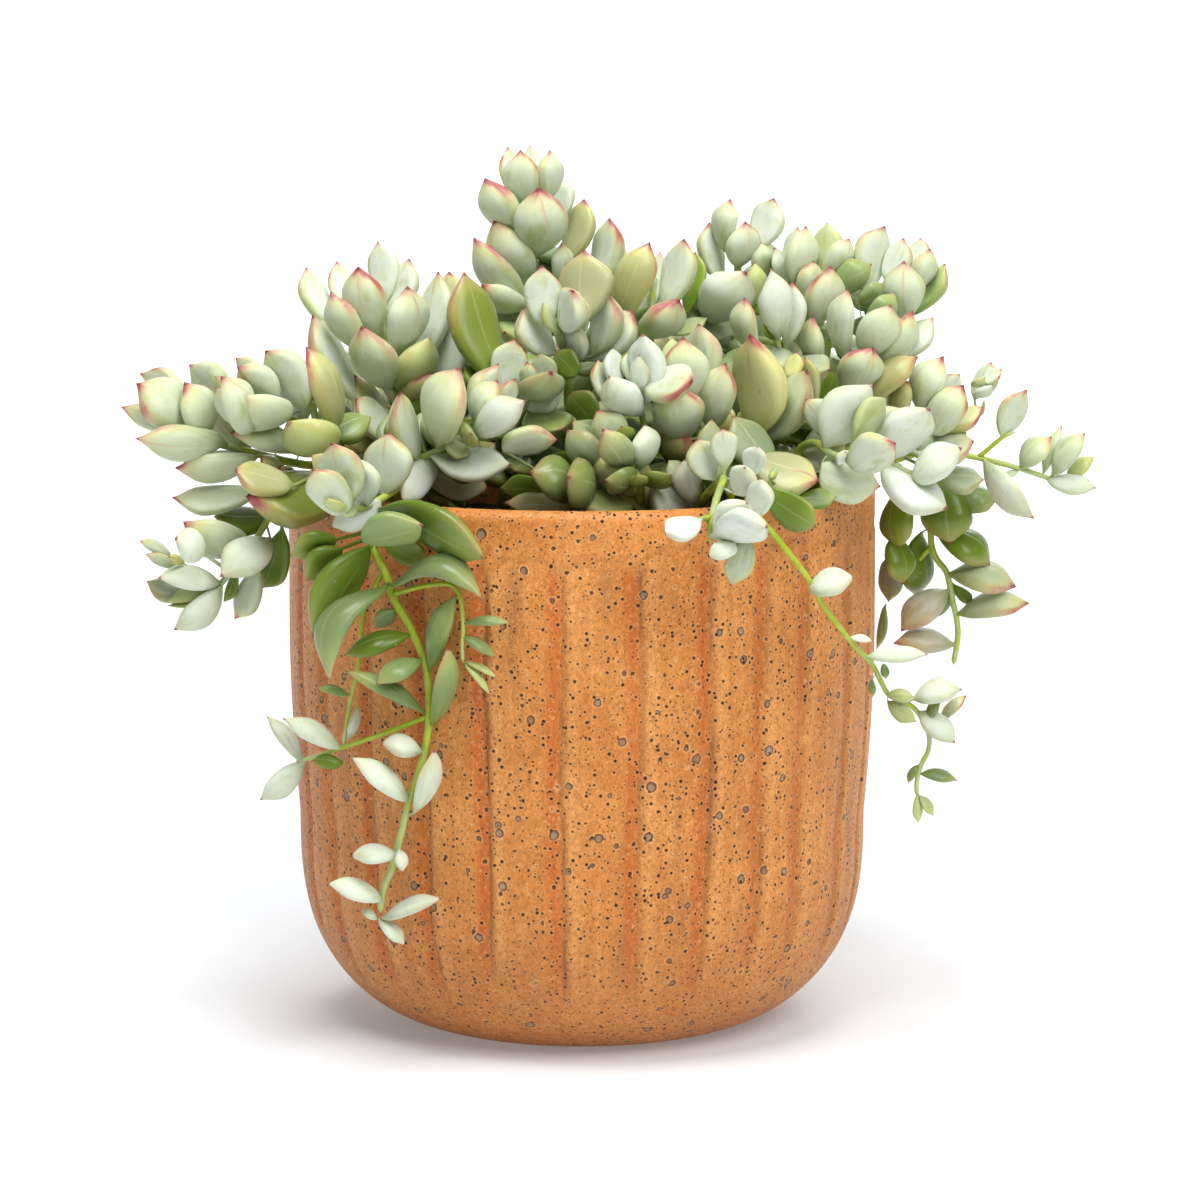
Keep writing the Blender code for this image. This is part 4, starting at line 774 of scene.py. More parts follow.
def settle(branches, leaves, rounds=60):
    """Moves leaves along the line of sight until they no longer run through each other."""
    view = np.array([unit(EYE - (leaf.foot + leaf.tip) / 2) for leaf in leaves])
    shape = [leaf.balls() for leaf in leaves]
    c = np.array([s[0] for s in shape])
    r = np.array([s[1] for s in shape])
    home = np.array([leaf.branch for leaf in leaves])
    middle = c.mean(axis=1)
    size = np.linalg.norm(c - middle[:, None], axis=2).max(axis=1) + r.max(axis=1)
    gap = np.linalg.norm(middle[:, None] - middle[None], axis=2) - size[:, None] - size[None]
    i, j = np.nonzero(np.triu(gap < 10, 1))
    stems = []
    for b, (_, lines) in enumerate(branches):
        for radius, line in lines:
            stems += [(b, *q, radius) for q in line[::2]]
    stems = np.array(stems)
    moved = np.zeros(len(leaves))
    for step in range(rounds):
        at = c + (view * moved[:, None])[:, None]
        push = np.zeros(len(leaves))
        hits = np.zeros(len(leaves))
        d = at[i][:, :, None] - at[j][:, None]
        far = np.linalg.norm(d, axis=3) - r[i][:, :, None] - r[j][:, None]
        own = (home[i] == home[j])[:, None, None]
        early = np.zeros((15, 15), bool)
        early[:3, :] = True
        early[:, :3] = True
        far = np.where(own & early[None], 1.0, far)
        flat = far.reshape(len(i), -1)
        k = flat.argmin(axis=1)
        deep = np.minimum(0, flat[np.arange(len(i)), k] - 0.15)
        ka, kb = k // 15, k % 15
        along = ((at[i, ka] - at[j, kb]) * (view[i] + view[j]) / 2).sum(axis=1)
        base = ((middle[i] - middle[j]) * view[i]).sum(axis=1)
        sign = np.where(np.abs(along) > 0.3, np.sign(along), np.where(base >= 0, 1, -1))
        amount = -deep * sign * 0.35
        np.add.at(push, i, amount)
        np.add.at(push, j, -amount)
        np.add.at(hits, i, deep < 0)
        np.add.at(hits, j, deep < 0)
        for b in range(len(branches)):
            mine = home == b
            others = stems[stems[:, 0] != b]
            d = at[mine][:, :, None] - others[None, None, :, 1:4]
            far = np.linalg.norm(d, axis=3) - r[mine][:, :, None] - others[None, None, :, 4] - 0.2
            flat = far.reshape(mine.sum(), -1)
            k = flat.argmin(axis=1)
            deep = np.minimum(0, flat[np.arange(len(k)), k])
            kk = k // len(others)
            oo = k % len(others)
            v = view[mine]
            along = ((at[mine][np.arange(len(k)), kk] - others[oo, 1:4]) * v).sum(axis=1)
            push[mine] += -deep * np.where(along >= 0, 1, -1) * 0.5
            hits[mine] += deep < 0
        need, lift = out_of_pot(at.reshape(-1, 3), r.reshape(-1))
        need = need.reshape(len(leaves), -1)
        rad = np.hypot(at[..., 0], at[..., 1])
        facing = -(at[..., 1]) / np.maximum(rad, 1)  # how far the outward way runs to the front
        worst = np.abs(need).argmax(axis=1)
        n = need[np.arange(len(leaves)), worst]
        f = facing[np.arange(len(leaves)), worst]
        push += np.where(np.abs(f) > 0.3, n / np.where(np.abs(f) > 0.3, f, 1) * 0.6, n * 0.6)
        push /= np.maximum(1, hits * 0.6)
        moved = np.clip(moved + np.clip(push, -1.2, 1.2), -16, 16)
    for leaf, m, v in zip(leaves, moved, view):
        leaf.move(v * m)


def fill(branches, leaves):
    """Shaded leaves along the inner stems, grown towards whatever gap the crown still shows
    from the front, from above or from behind."""
    rng = np.random.default_rng(21)
    shapes = [leaf.balls() for leaf in leaves]
    c = np.concatenate([q[0] for q in shapes])
    r = np.concatenate([q[1] for q in shapes])
    home = np.repeat([leaf.branch for leaf in leaves], 15)
    spots = []
    for b, (_, lines) in enumerate(branches):
        radius, line = lines[0]
        for k in range(3, len(line) - 1):
            if math.hypot(line[k, 0], line[k, 1]) < POT_R + 12 and line[k, 2] > SOIL_Z + 4:
                spots.append((b, radius, *line[k], *unit(line[k + 1] - line[k - 1])))
    spots = np.array(spots)
    stems = np.array([(b, q, *p) for b, (_, lines) in enumerate(branches) for q, line in lines for p in line[::2]])

    def on_view(view, p):
        p = np.atleast_2d(p)
        if view == 0:
            d = p - EYE
            far = d[:, 1] * math.cos(PITCH) - d[:, 2] * math.sin(PITCH)
            up = d[:, 1] * math.sin(PITCH) + d[:, 2] * math.cos(PITCH)
            return REACH * d[:, 0] / far * UNIT, -REACH * up / far * UNIT
        return (p[:, 0], p[:, 1]) if view == 1 else (p[:, 0], p[:, 2] - 160.0)

    cell = 1.7
    side = 120
    seen = np.zeros((3, side, side), bool)

    def cover(centres, radii):
        for view in range(3):
            u, v = on_view(view, centres)
            for x, y, q in zip(u, v, radii):
                q *= 0.95
                x0, x1 = int((x - q) / cell + side / 2), int((x + q) / cell + side / 2) + 1
                y0, y1 = int((y - q) / cell + side / 2), int((y + q) / cell + side / 2) + 1
                seen[view, max(0, x0 + 1) : max(0, x1), max(0, y0 + 1) : max(0, y1)] = True

    cover(c, r)
    goals = []
    for x in range(side):
        for y in range(side):
            u, v = (x + 0.5 - side / 2) * cell, (y + 0.5 - side / 2) * cell
            px, py = 600 + u / UNIT, 600 + v / UNIT
            sky = np.interp(px, [q[0] for q in SKYLINE], [q[1] for q in SKYLINE])
            if 322 < px < 900 and sky + 20 < py < 500:
                goals.append((0, x, y, [on_sheet(px, py, d) for d in (0, 10, 22, 34, 46)]))
            if math.hypot(u, v) < 60:
                goals.append((1, x, y, [np.array([u, v, z]) for z in (136.0, 146.0, 158.0)]))
            if abs(u) < 78 and 134 < v + 160 < 182 - 0.007 * u * u:
                goals.append((2, x, y, [np.array([u, d, v + 160]) for d in (58.0, 46.0, 34.0, 22.0)]))
    extra = []
    for g in rng.permutation(len(goals)):
        view, x, y, ways = goals[g]
        if seen[view, x, y]:
            continue
        for p in ways:
            gap = np.linalg.norm(spots[:, 2:5] - p, axis=1)
            order = [k for k in np.argsort(gap)[:12:3] if 4.5 < gap[k] < 13.5]
            leaf = None
            for k in order:
                at, grow, radius = spots[k, 2:5], spots[k, 5:8], spots[k, 1]
                way = unit(p - at)
                if float(way @ grow) < -0.2:
                    continue
                length = min(16.0, gap[k] + 3.5)
                foot = at + way * (radius + 0.8)
                leaf = Leaf(int(spots[k, 0]), foot, at + way * length, length * rng.uniform(0.46, 0.58), "gmsmsf"[int(rng.integers(6))], grow, at)
                leaf.plain = True
                px, py = to_sheet(leaf.tip)
                sky = np.interp(px, [q[0] for q in SKYLINE], [q[1] for q in SKYLINE])
                if not (322 < px < 903 and py > sky + 14 and (py < 500 or leaf.tip[1] > -15)):
                    leaf = None
                    continue
                lc, lr = leaf.balls()
                need, rise = out_of_pot(lc, lr)
                if np.abs(need).max() > 0 or (lc[:, 2] - lr).min() < SOIL_Z + 7.5:
                    leaf = None
                    continue
                close = np.linalg.norm(c - lc[7], axis=1) < 26
                d = np.linalg.norm(lc[:, None] - c[close][None], axis=2) - lr[:, None] - r[close][None]
                d[:6] = np.where(home[close][None] == leaf.branch, 1, d[:6])
                if d.min() < 0.05:
                    leaf = None
                    continue
                other = stems[:, 0] != leaf.branch
                d = np.linalg.norm(lc[:, None] - stems[other, 2:5][None], axis=2) - lr[:, None] - stems[other, 1][None]
                if d.min() < 0.3:
                    leaf = None
                    continue
                break
            if leaf is not None:
                extra.append(leaf)
                c, r = np.concatenate([c, lc]), np.concatenate([r, lr])
                home = np.concatenate([home, np.full(15, leaf.branch)])
                cover(lc, lr)
                break
    return extra


def plant():
    branches, leaves = front_branches()
    more, extra = back_branches(len(branches))
    branches += more
    leaves += extra
    part_stems(branches)
    settle(branches, leaves)
    leaves += fill(branches, leaves)
    for leaf in leaves:
        leaf.joint = joint_on(branches[leaf.branch][1], leaf)
    return branches, leaves


def kept(line, slack=0.7):
    """The points of a stem's line that carry its rings: where it bends by more than the slack."""
    keep = [0]
    while keep[-1] < len(line) - 1:
        a, far = keep[-1], keep[-1] + 1
        for b in range(a + 2, min(a + 12, len(line))):
            way = unit(line[b] - line[a])
            off = line[a + 1 : b] - line[a]
            off = off - np.outer(off @ way, way)
            if np.linalg.norm(off, axis=1).max() > slack:
                break
            far = b
        keep.append(far)
    return line[keep]


def through_cup(p, q):
    """Whether the straight way from p to q runs through the cup's wall."""
    way = p + np.linspace(0, 1, 12)[:, None] * (q - p)
    rad = np.hypot(way[:, 0], way[:, 1])
    return bool(((way[:, 2] < POT_H + 0.9) & (rad > POT_R - WALL - 0.8) & (rad < outer_r(np.clip(way[:, 2], 0, POT_H)) + 0.8)).any())


def joint_on(stems, leaf):
    """The point inside a stem that a leaf grows from: near its foot, and behind it."""
    way = unit(leaf.tip - leaf.foot)
    best = None
    for _, line in stems:
        pts = kept(line)
        for k, (a, b) in enumerate(zip(pts, pts[1:])):
            span = float(np.linalg.norm(b - a))
            last = 1.0 - 1.5 / span if k == len(pts) - 2 else 1.0
            for t in np.linspace(0.0, last, 6):
                q = a + (b - a) * t
                back = leaf.foot - q
                cost = float(np.linalg.norm(back)) - 0.7 * float(back @ way)
                if best is not None and cost >= best[0]:
                    continue
                cost += 40.0 * through_cup(leaf.foot, q)
                if best is None or cost < best[0]:
                    best = (cost, q)
    return best[1]


def inner_r(z):
    return float(outer_r(max(z - 3.0, 0.5))) - WALL if z < BELLY_Z else float(outer_r(z)) - WALL


# ---- node materials ----


class Graph:
    """A material's nodes, written as short calls."""

    def __init__(self, name):
        self.material = bpy.data.materials.new(name)
        self.material.use_nodes = True
        self.tree = self.material.node_tree
        self.shader = self.tree.nodes["Principled BSDF"]
        self.out = self.tree.nodes["Material Output"]

    def node(self, kind, **props):
        made = self.tree.nodes.new(kind)
        for key, value in props.items():
            setattr(made, key, value)
        return made

    def put(self, socket, value):
        if isinstance(value, bpy.types.NodeSocket):
            self.tree.links.new(value, socket)
        elif isinstance(value, (tuple, list)) and socket.type == "RGBA":
            socket.default_value = (*value[:3], 1.0)
        else:
            socket.default_value = value

    def math(self, op, a, b=None, clamp=False):
        n = self.node("ShaderNodeMath", operation=op, use_clamp=clamp)
        self.put(n.inputs[0], a)
        if b is not None:
            self.put(n.inputs[1], b)
        return n.outputs[0]

    def mul(self, a, *rest):
        for b in rest:
            a = self.math("MULTIPLY", a, b)
        return a

    def inv(self, a):
        return self.math("SUBTRACT", 1.0, a)

    def step(self, x, low, high, to_low=0.0, to_high=1.0):
        n = self.node("ShaderNodeMapRange", interpolation_type="SMOOTHSTEP")
        for socket, value in zip(n.inputs, (x, low, high, to_low, to_high)):
            self.put(socket, value)
        return n.outputs[0]

    def mix(self, share, a, b, how="MIX"):
        n = self.node("ShaderNodeMix", data_type="RGBA", blend_type=how)
        self.put(n.inputs[0], share)
        self.put(n.inputs[6], a)
        self.put(n.inputs[7], b)
        return n.outputs[2]

    def noise(self, vector, scale, detail=2.0, rough=0.5):
        n = self.node("ShaderNodeTexNoise")
        self.put(n.inputs["Vector"], vector)
        self.put(n.inputs["Scale"], scale)
        self.put(n.inputs["Detail"], detail)
        self.put(n.inputs["Roughness"], rough)
        return n.outputs[0]

    def cells(self, vector, scale, randomness=1.0):
        n = self.node("ShaderNodeTexVoronoi")
        self.put(n.inputs["Vector"], vector)
        self.put(n.inputs["Scale"], scale)
        self.put(n.inputs["Randomness"], randomness)
        return n.outputs["Distance"], n.outputs["Color"]

    def attribute(self, name):
        return self.node("ShaderNodeAttribute", attribute_name=name)

    def split(self, vector):
        n = self.node("ShaderNodeSeparateXYZ")
        self.put(n.inputs[0], vector)
        return n.outputs[0], n.outputs[1], n.outputs[2]

    def join(self, x, y, z):
        n = self.node("ShaderNodeCombineXYZ")
        for socket, value in zip(n.inputs, (x, y, z)):
            self.put(socket, value)
        return n.outputs[0]

    def place(self):
        return self.node("ShaderNodeTexCoord").outputs["Object"]

    def stretch(self, vector, x, y, z):
        n = self.node("ShaderNodeVectorMath", operation="MULTIPLY")
        self.put(n.inputs[0], vector)
        n.inputs[1].default_value = (x, y, z)
        return n.outputs[0]

    def bump(self, height, strength, distance, after=None):
        n = self.node("ShaderNodeBump")
        n.inputs["Strength"].default_value = strength
        n.inputs["Distance"].default_value = distance
        self.put(n.inputs["Height"], height)
        if after is not None:
            self.put(n.inputs["Normal"], after)
        return n.outputs[0]

    def finish(self, **sockets):
        for key, value in sockets.items():
            self.put(self.shader.inputs[key.replace("_", " ")], value)
        return self.material


def leaf_material():
    """Lime-green skin under a smooth frosting of wax: rose at the point, yellow-green below it."""
    g = Graph("leaf")
    t, s, turn = g.split(g.attribute("leaf_place").outputs["Vector"])
    seed, wax, red = g.split(g.attribute("leaf_kind").outputs["Vector"])
    lime_share, keel_red, free = g.split(g.attribute("leaf_more").outputs["Vector"])
    skin = g.attribute("leaf_skin").outputs["Color"]
    off = g.mul(seed, 53.0)
    side = g.math("ABSOLUTE", s)
    patches = g.noise(g.join(g.mul(t, 2.0), g.mul(s, 1.1), off), 1.0, 3.0, 0.55)
    broad = g.noise(g.join(g.mul(t, 1.1), g.mul(s, 0.7), g.mul(seed, 91.0)), 1.0, 1.0, 0.5)
    wander = g.noise(g.join(g.mul(t, 2.2), off, 0.0), 1.0, 1.0)
    place = g.place()
    grain = g.noise(place, 1500.0, 2.0)
    smudge = g.noise(place, 420.0, 3.0, 0.6)
    # one margin colours more than the other
    lean = g.math("SUBTRACT", g.step(g.math("SINE", g.mul(seed, 97.0)), -0.3, 0.3), 0.5)
    margin = g.math("ADD", side, g.mul(g.math("MULTIPLY", s, lean), 0.26))
    # painted shade: where other leaves close in around a leaf, it keeps less wax and turns a deeper, darker green
    crowd_shade = g.step(free, 0.66, 0.14)
    # painted shade: the underside of each leaf keeps less wax and reads greener
    underside_shade = g.step(g.math("SINE", turn), 0.1, -0.8)
    # the skin: darker at the foot as painted shade, yellow-green towards the point
    high = g.step(g.math("ADD", t, g.mul(g.math("SUBTRACT", broad, 0.5), 0.5)), 0.42, 0.90)
    under = g.mix(g.mul(high, lime_share), skin, (0.530, 0.585, 0.160))
    low = g.step(t, 0.36, 0.02)
    under = g.mix(g.mul(low, 0.55), under, (0.16, 0.25, 0.022))
    under = g.mix(g.mul(crowd_shade, 0.75), under, (0.110, 0.155, 0.012))
    line = g.math("ABSOLUTE", g.math("ADD", s, g.mul(g.math("SUBTRACT", wander, 0.5), 0.22)))
    keel = g.mul(g.step(line, 0.085, 0.012), g.step(t, 0.12, 0.35), g.step(t, 0.96, 0.80))
    # rose at the point, along the upper margins and on some keels
    reach = g.math("ADD", g.math("ADD", t, g.mul(g.math("SUBTRACT", margin, 0.4), 0.07)), g.mul(g.math("SUBTRACT", patches, 0.5), 0.16))
    point = g.step(reach, 0.835, 0.985)
    edge = g.mul(g.step(margin, 0.915, 1.06), g.step(t, 0.40, 0.80), g.step(patches, 0.30, 0.50))
    ridge = g.mul(g.step(line, 0.13, 0.02), g.step(t, 0.40, 0.85), keel_red)
    blush = g.math("MAXIMUM", g.mul(point, red), g.mul(edge, red, 0.95), clamp=True)
    blush = g.math("MAXIMUM", blush, ridge, clamp=True)
    # an ochre band where the flush fades into the green
    warm = g.mul(g.math("MAXIMUM", g.step(reach, 0.68, 0.88), g.mul(g.step(margin, 0.76, 0.98), g.step(t, 0.25, 0.65))), red)
    under = g.mix(g.mul(warm, 0.50), under, (0.620, 0.500, 0.150))
    rose = g.mix(blush, (0.640, 0.340, 0.260), (0.400, 0.080, 0.090))
    # the wax coat, thinner towards the point, on the margins and in soft patches; thinner at the foot, on the
    # underside and where leaves crowd, as painted shade
    coat = g.mul(wax, g.inv(g.mul(g.step(patches, 0.52, 0.72), 0.55)))
    coat = g.mul(coat, g.inv(g.mul(g.step(t, 0.50, 0.98), 0.38, g.step(broad, 0.30, 0.60))))
    coat = g.mul(coat, g.inv(g.mul(g.step(t, 0.28, 0.0), 0.55)))
    coat = g.mul(coat, g.inv(g.mul(g.step(margin, 0.74, 1.0), 0.40)))
    coat = g.mul(coat, g.inv(g.mul(warm, 0.26)))
    coat = g.mul(coat, g.inv(g.mul(crowd_shade, 0.80)))
    coat = g.mul(coat, g.inv(g.mul(underside_shade, 0.25)))
    frost = g.mix(g.step(patches, 0.30, 0.65), (0.690, 0.755, 0.680), (0.805, 0.850, 0.795))
    frost = g.mix(g.mul(g.step(grain, 0.35, 0.75), 0.18), frost, (0.87, 0.905, 0.875))
    colour = g.mix(coat, under, frost)
    colour = g.mix(g.mul(g.step(smudge, 0.56, 0.70), coat, 0.34), colour, (0.46, 0.54, 0.17))
    colour = g.mix(g.mul(keel, g.math("ADD", 0.10, g.mul(coat, 0.30))), colour, (0.740, 0.750, 0.440))
    colour = g.mix(g.mul(blush, g.math("SUBTRACT", 0.96, g.mul(coat, 0.20))), colour, rose)
    # small healed marks
    far, mark = g.cells(g.join(g.mul(t, 4.2), g.mul(s, 2.6), off), 1.0)
    sore = g.mul(g.step(far, 0.12, 0.06), g.step(g.split(mark)[0], 0.84, 0.86))
    colour = g.mix(g.mul(sore, 0.60), colour, (0.40, 0.38, 0.10))
    # the hard little point
    nib = g.mul(g.step(t, 0.945, 0.98), g.step(red, 0.02, 0.30))
    colour = g.mix(g.mul(nib, 0.92), colour, (0.200, 0.022, 0.026))
    rough = g.step(coat, 0.0, 0.8, 0.27, 0.58)
    bumps = g.bump(g.math("ADD", g.math("ADD", g.mul(grain, 0.4), patches), g.mul(keel, 0.5)), 0.20, 0.0005)
    return g.finish(
        Base_Color=colour,
        Roughness=rough,
        Normal=bumps,
        Subsurface_Weight=0.15,
        Subsurface_Radius=(1.0, 1.1, 0.40),
        Subsurface_Scale=0.0020,
        Sheen_Weight=0.05,
        Sheen_Roughness=0.45,
        Specular_IOR_Level=0.36,
    )


def stem_material():
    """Fleshy stems: yellow-green, whitened by wax towards the growing end, faintly ringed."""
    g = Graph("stem")
    t, young, seed = g.split(g.attribute("leaf_place").outputs["Vector"])
    skin = g.attribute("leaf_skin").outputs["Color"]
    place = g.place()
    mottled = g.noise(place, 260.0, 3.0, 0.6)
    fine = g.noise(g.stretch(place, 1.0, 1.0, 0.25), 1600.0, 2.0)
    colour = g.mix(g.step(mottled, 0.40, 0.7), skin, (0.46, 0.52, 0.050))
    colour = g.mix(g.mul(g.step(young, 0.62, 1.0), g.step(mottled, 0.75, 0.35), 0.60), colour, (0.58, 0.66, 0.46))
    colour = g.mix(g.mul(g.step(fine, 0.60, 0.76), 0.30), colour, (0.17, 0.25, 0.03))
    bumps = g.bump(g.math("ADD", mottled, g.mul(fine, 0.4)), 0.3, 0.0004)
    return g.finish(
        Base_Color=colour,
        Roughness=0.36,
        Normal=bumps,
        Subsurface_Weight=0.12,
        Subsurface_Radius=(1.0, 1.1, 0.4),
        Subsurface_Scale=0.0018,
        Specular_IOR_Level=0.45,
    )


def pot_material():
    """Satin stoneware: warm orange-brown, redder beside the grooves, pricked with pinholes and shallow craters."""
    g = Graph("stoneware")
    place = g.place()
    red, pale, inside = g.split(g.attribute("pot_bands").outputs["Vector"])
    groove_shadow, shade, stain = g.split(g.attribute("pot_lines").outputs["Vector"])
    cloud = g.noise(place, 55.0, 3.0, 0.55)
    streak = g.noise(g.stretch(place, 1.0, 1.0, 0.12), 260.0, 3.0, 0.6)
    fibre = g.noise(g.stretch(place, 1.0, 1.0, 0.7), 1500.0, 3.0, 0.65)
    fleck = g.noise(place, 2600.0, 2.0, 0.6)
    base = g.mix(g.step(cloud, 0.30, 0.70), (0.610, 0.214, 0.040), (0.725, 0.290, 0.067))
    base = g.mix(g.mul(g.step(streak, 0.50, 0.72), 0.30), base, (0.660, 0.192, 0.030))
    base = g.mix(g.mul(g.step(streak, 0.50, 0.30), 0.30), base, (0.815, 0.366, 0.098))
    base = g.mix(g.mul(red, g.step(streak, 0.30, 0.52, 0.58, 0.98)), base, (0.560, 0.118, 0.012))
    base = g.mix(g.mul(pale, 0.48), base, (0.880, 0.430, 0.135))
    base = g.mix(g.mul(shade, 0.62), base, (0.260, 0.092, 0.024))
    base = g.mix(g.mul(stain, g.step(streak, 0.66, 0.36), 0.72), base, (0.270, 0.112, 0.044))
    # a web of fine wandering lines, coarse and fine, and soft mottling between them
    mottle = g.noise(g.stretch(place, 1.0, 1.0, 0.75), 560.0, 5.0, 0.68)
    base = g.mix(g.mul(g.step(mottle, 0.53, 0.66), 0.34), base, (0.330, 0.108, 0.020))
    base = g.mix(g.mul(g.step(mottle, 0.46, 0.34), 0.26), base, (0.900, 0.450, 0.140))
    web = g.noise(g.stretch(place, 1.0, 1.0, 0.8), 620.0, 3.0, 0.6)
    vein = g.step(g.math("ABSOLUTE", g.math("SUBTRACT", web, 0.5)), 0.022, 0.004)
    thin_web = g.noise(place, 1050.0, 2.0, 0.6)
    thread = g.step(g.math("ABSOLUTE", g.math("SUBTRACT", thin_web, 0.47)), 0.040, 0.008)
    base = g.mix(g.mul(vein, 0.55), base, (0.330, 0.105, 0.020))
    base = g.mix(g.mul(thread, 0.38), base, (0.360, 0.125, 0.026))
    base = g.mix(g.mul(g.step(fibre, 0.52, 0.68), 0.45), base, (0.350, 0.112, 0.022))
    base = g.mix(g.mul(g.step(fibre, 0.46, 0.30), 0.30), base, (0.900, 0.460, 0.150))
    base = g.mix(g.mul(g.step(fleck, 0.60, 0.74), 0.35), base, (0.291, 0.095, 0.020))
    # painted shadow: a thin dark line in each groove
    base = g.mix(g.mul(groove_shadow, 0.62), base, (0.150, 0.050, 0.014))
    # pinholes: small black pits with a brown ring and a pale lip, in two sizes
    far, which = g.cells(place, 620.0)
    pick = g.split(which)
    size = g.step(pick[0], 0.0, 1.0, 0.09, 0.245)
    share_hole = g.math("DIVIDE", far, size)
    hole = g.step(share_hole, 1.02, 0.84)
    ring = g.mul(g.step(share_hole, 1.45, 1.10), g.inv(hole))
    lip = g.mul(g.step(share_hole, 2.05, 1.60), g.step(share_hole, 1.25, 1.55))
    small_far, small_which = g.cells(g.stretch(place, 1.0, 1.0, 0.85), 940.0)
    small_pick = g.split(small_which)
    small_size = g.step(small_pick[0], 0.0, 1.0, 0.12, 0.26)
    small = g.mul(g.step(g.math("DIVIDE", small_far, small_size), 1.05, 0.75), g.step(small_pick[1], 0.30, 0.34))
    # burst bubbles: uneven dark-brown pits with a pale rim
    bend = g.mul(g.math("SUBTRACT", web, 0.5), 0.0009)
    bent = g.join(*[g.math("ADD", q, bend) for q in g.split(g.stretch(place, 1.0, 1.0, 0.95))])
    mid_far, mid_which = g.cells(bent, 330.0)
    mid_pick = g.split(mid_which)
    mid_share = g.math("DIVIDE", mid_far, g.step(mid_pick[0], 0.0, 1.0, 0.09, 0.19))
    some = g.step(mid_pick[1], 0.35, 0.37)
    pit = g.mul(g.step(mid_share, 1.05, 0.82), some)
    pit_heart = g.mul(g.step(mid_share, 0.75, 0.35), some)
    pit_rim = g.mul(g.step(mid_share, 1.55, 1.20), g.step(mid_share, 0.98, 1.15), some)
    # craters: wider and shallow, a dark wall around a grey glassy floor
    wide_far, wide_which = g.cells(bent, 185.0)
    wide_pick = g.split(wide_which)
    share = g.math("DIVIDE", wide_far, g.step(wide_pick[0], 0.0, 1.0, 0.10, 0.235))
    kept = g.step(wide_pick[2], 0.22, 0.24)
    crater = g.mul(g.step(share, 1.02, 0.90), kept)
    wall = g.mul(g.step(share, 0.55, 0.85), crater)
    floor = g.mul(g.step(share, 0.80, 0.55), kept)
    halo = g.mul(g.step(share, 1.34, 1.08), g.step(share, 0.98, 1.08), kept)
    base = g.mix(g.mul(lip, 0.34), base, (0.830, 0.470, 0.190))
    base = g.mix(g.mul(halo, 0.42), base, (0.820, 0.480, 0.210))
    base = g.mix(g.mul(pit_rim, 0.42), base, (0.830, 0.480, 0.200))
    base = g.mix(g.mul(ring, 0.50), base, (0.230, 0.080, 0.022))
    base = g.mix(g.mul(crater, 0.85), base, (0.300, 0.150, 0.064))
    base = g.mix(g.mul(floor, 0.85), base, g.mix(wide_pick[1], (0.300, 0.160, 0.075), (0.380, 0.270, 0.180)))
    base = g.mix(g.mul(wall, 0.68), base, (0.120, 0.050, 0.020))
    base = g.mix(g.mul(small, 0.85), base, (0.090, 0.028, 0.008))
    base = g.mix(g.mul(pit, 0.80), base, (0.150, 0.060, 0.020))
    base = g.mix(g.mul(pit_heart, 0.80), base, (0.035, 0.016, 0.008))
    base = g.mix(g.mul(hole, 0.95), base, (0.016, 0.006, 0.003))
    # painted shade: the wall darkens towards the foot, where less light reaches it
    base = g.mix(g.mul(g.step(g.split(place)[2], 0.045, 0.004), 0.22), base, (0.300, 0.110, 0.026))
    base = g.mix(g.mul(inside, 0.35), base, (0.300, 0.116, 0.030))
    rough = g.step(fibre, 0.3, 0.7, 0.42, 0.60)
    rough = g.math("SUBTRACT", rough, g.mul(g.math("MAXIMUM", floor, pit_heart), 0.26))
    relief = g.math("SUBTRACT", g.mul(fibre, 0.12), g.mul(hole, 0.8))
    relief = g.math("SUBTRACT", relief, g.mul(small, 0.35))
    relief = g.math("SUBTRACT", relief, g.mul(g.step(mid_share, 1.1, 0.3), some, 0.9))
    relief = g.math("SUBTRACT", relief, g.mul(g.step(share, 1.05, 0.45), kept, 1.1))
    relief = g.math("ADD", relief, g.mul(g.math("ADD", lip, halo), 0.12))
    relief = g.math("SUBTRACT", relief, g.mul(vein, 0.06))
    bumps = g.bump(relief, 0.60, 0.0007)
    return g.finish(
        Base_Color=base,
        Roughness=rough,
        Normal=bumps,
        Specular_IOR_Level=0.30,
        Coat_Weight=0.05,
        Coat_Roughness=0.35,
    )


def soil_material():
    g = Graph("potting mix")
    place = g.place()
    lumps = g.noise(place, 240.0, 4.0, 0.65)
    grains, which = g.cells(place, 420.0)
    pick = g.split(which)
    base = g.mix(lumps, (0.020, 0.012, 0.008), (0.105, 0.066, 0.040))
    base = g.mix(g.mul(g.step(pick[0], 0.86, 0.90), g.step(grains, 0.45, 0.30), 0.8), base, (0.50, 0.45, 0.38))
    base = g.mix(g.mul(g.step(pick[1], 0.78, 0.84), 0.5), base, (0.17, 0.10, 0.05))
    bumps = g.bump(g.math("ADD", lumps, g.mul(grains, -0.6)), 0.9, 0.002)
    return g.finish(Base_Color=base, Roughness=0.95, Normal=bumps, Specular_IOR_Level=0.2)


# ---- foliage ----

# skin colour, wax, red, lime, red keel
LOOKS = {
    "f": ((0.36, 0.46, 0.070), 0.86, 1.05, 0.85, 0.45),
    "w": ((0.52, 0.61, 0.340), 0.95, 0.32, 0.16, 0.05),
    "m": ((0.17, 0.29, 0.015), 0.24, 0.30, 0.30, 0.05),
    "g": ((0.155, 0.265, 0.005), 0.03, 0.25, 0.30, 0.05),
    "k": ((0.165, 0.215, 0.014), 0.03, 1.00, 0.12, 0.20),
    "l": ((0.46, 0.54, 0.070), 0.42, 0.20, 0.60, 0.05),
    "y": ((0.72, 0.69, 0.150), 0.34, 1.10, 0.45, 1.20),
    "o": ((0.36, 0.34, 0.045), 0.32, 1.20, 0.60, 0.70),
    "s": ((0.17, 0.25, 0.030), 0.50, 0.45, 0.30, 0.05),
    "p": ((0.38, 0.30, 0.140), 0.75, 0.80, 0.25, 0.15),
}

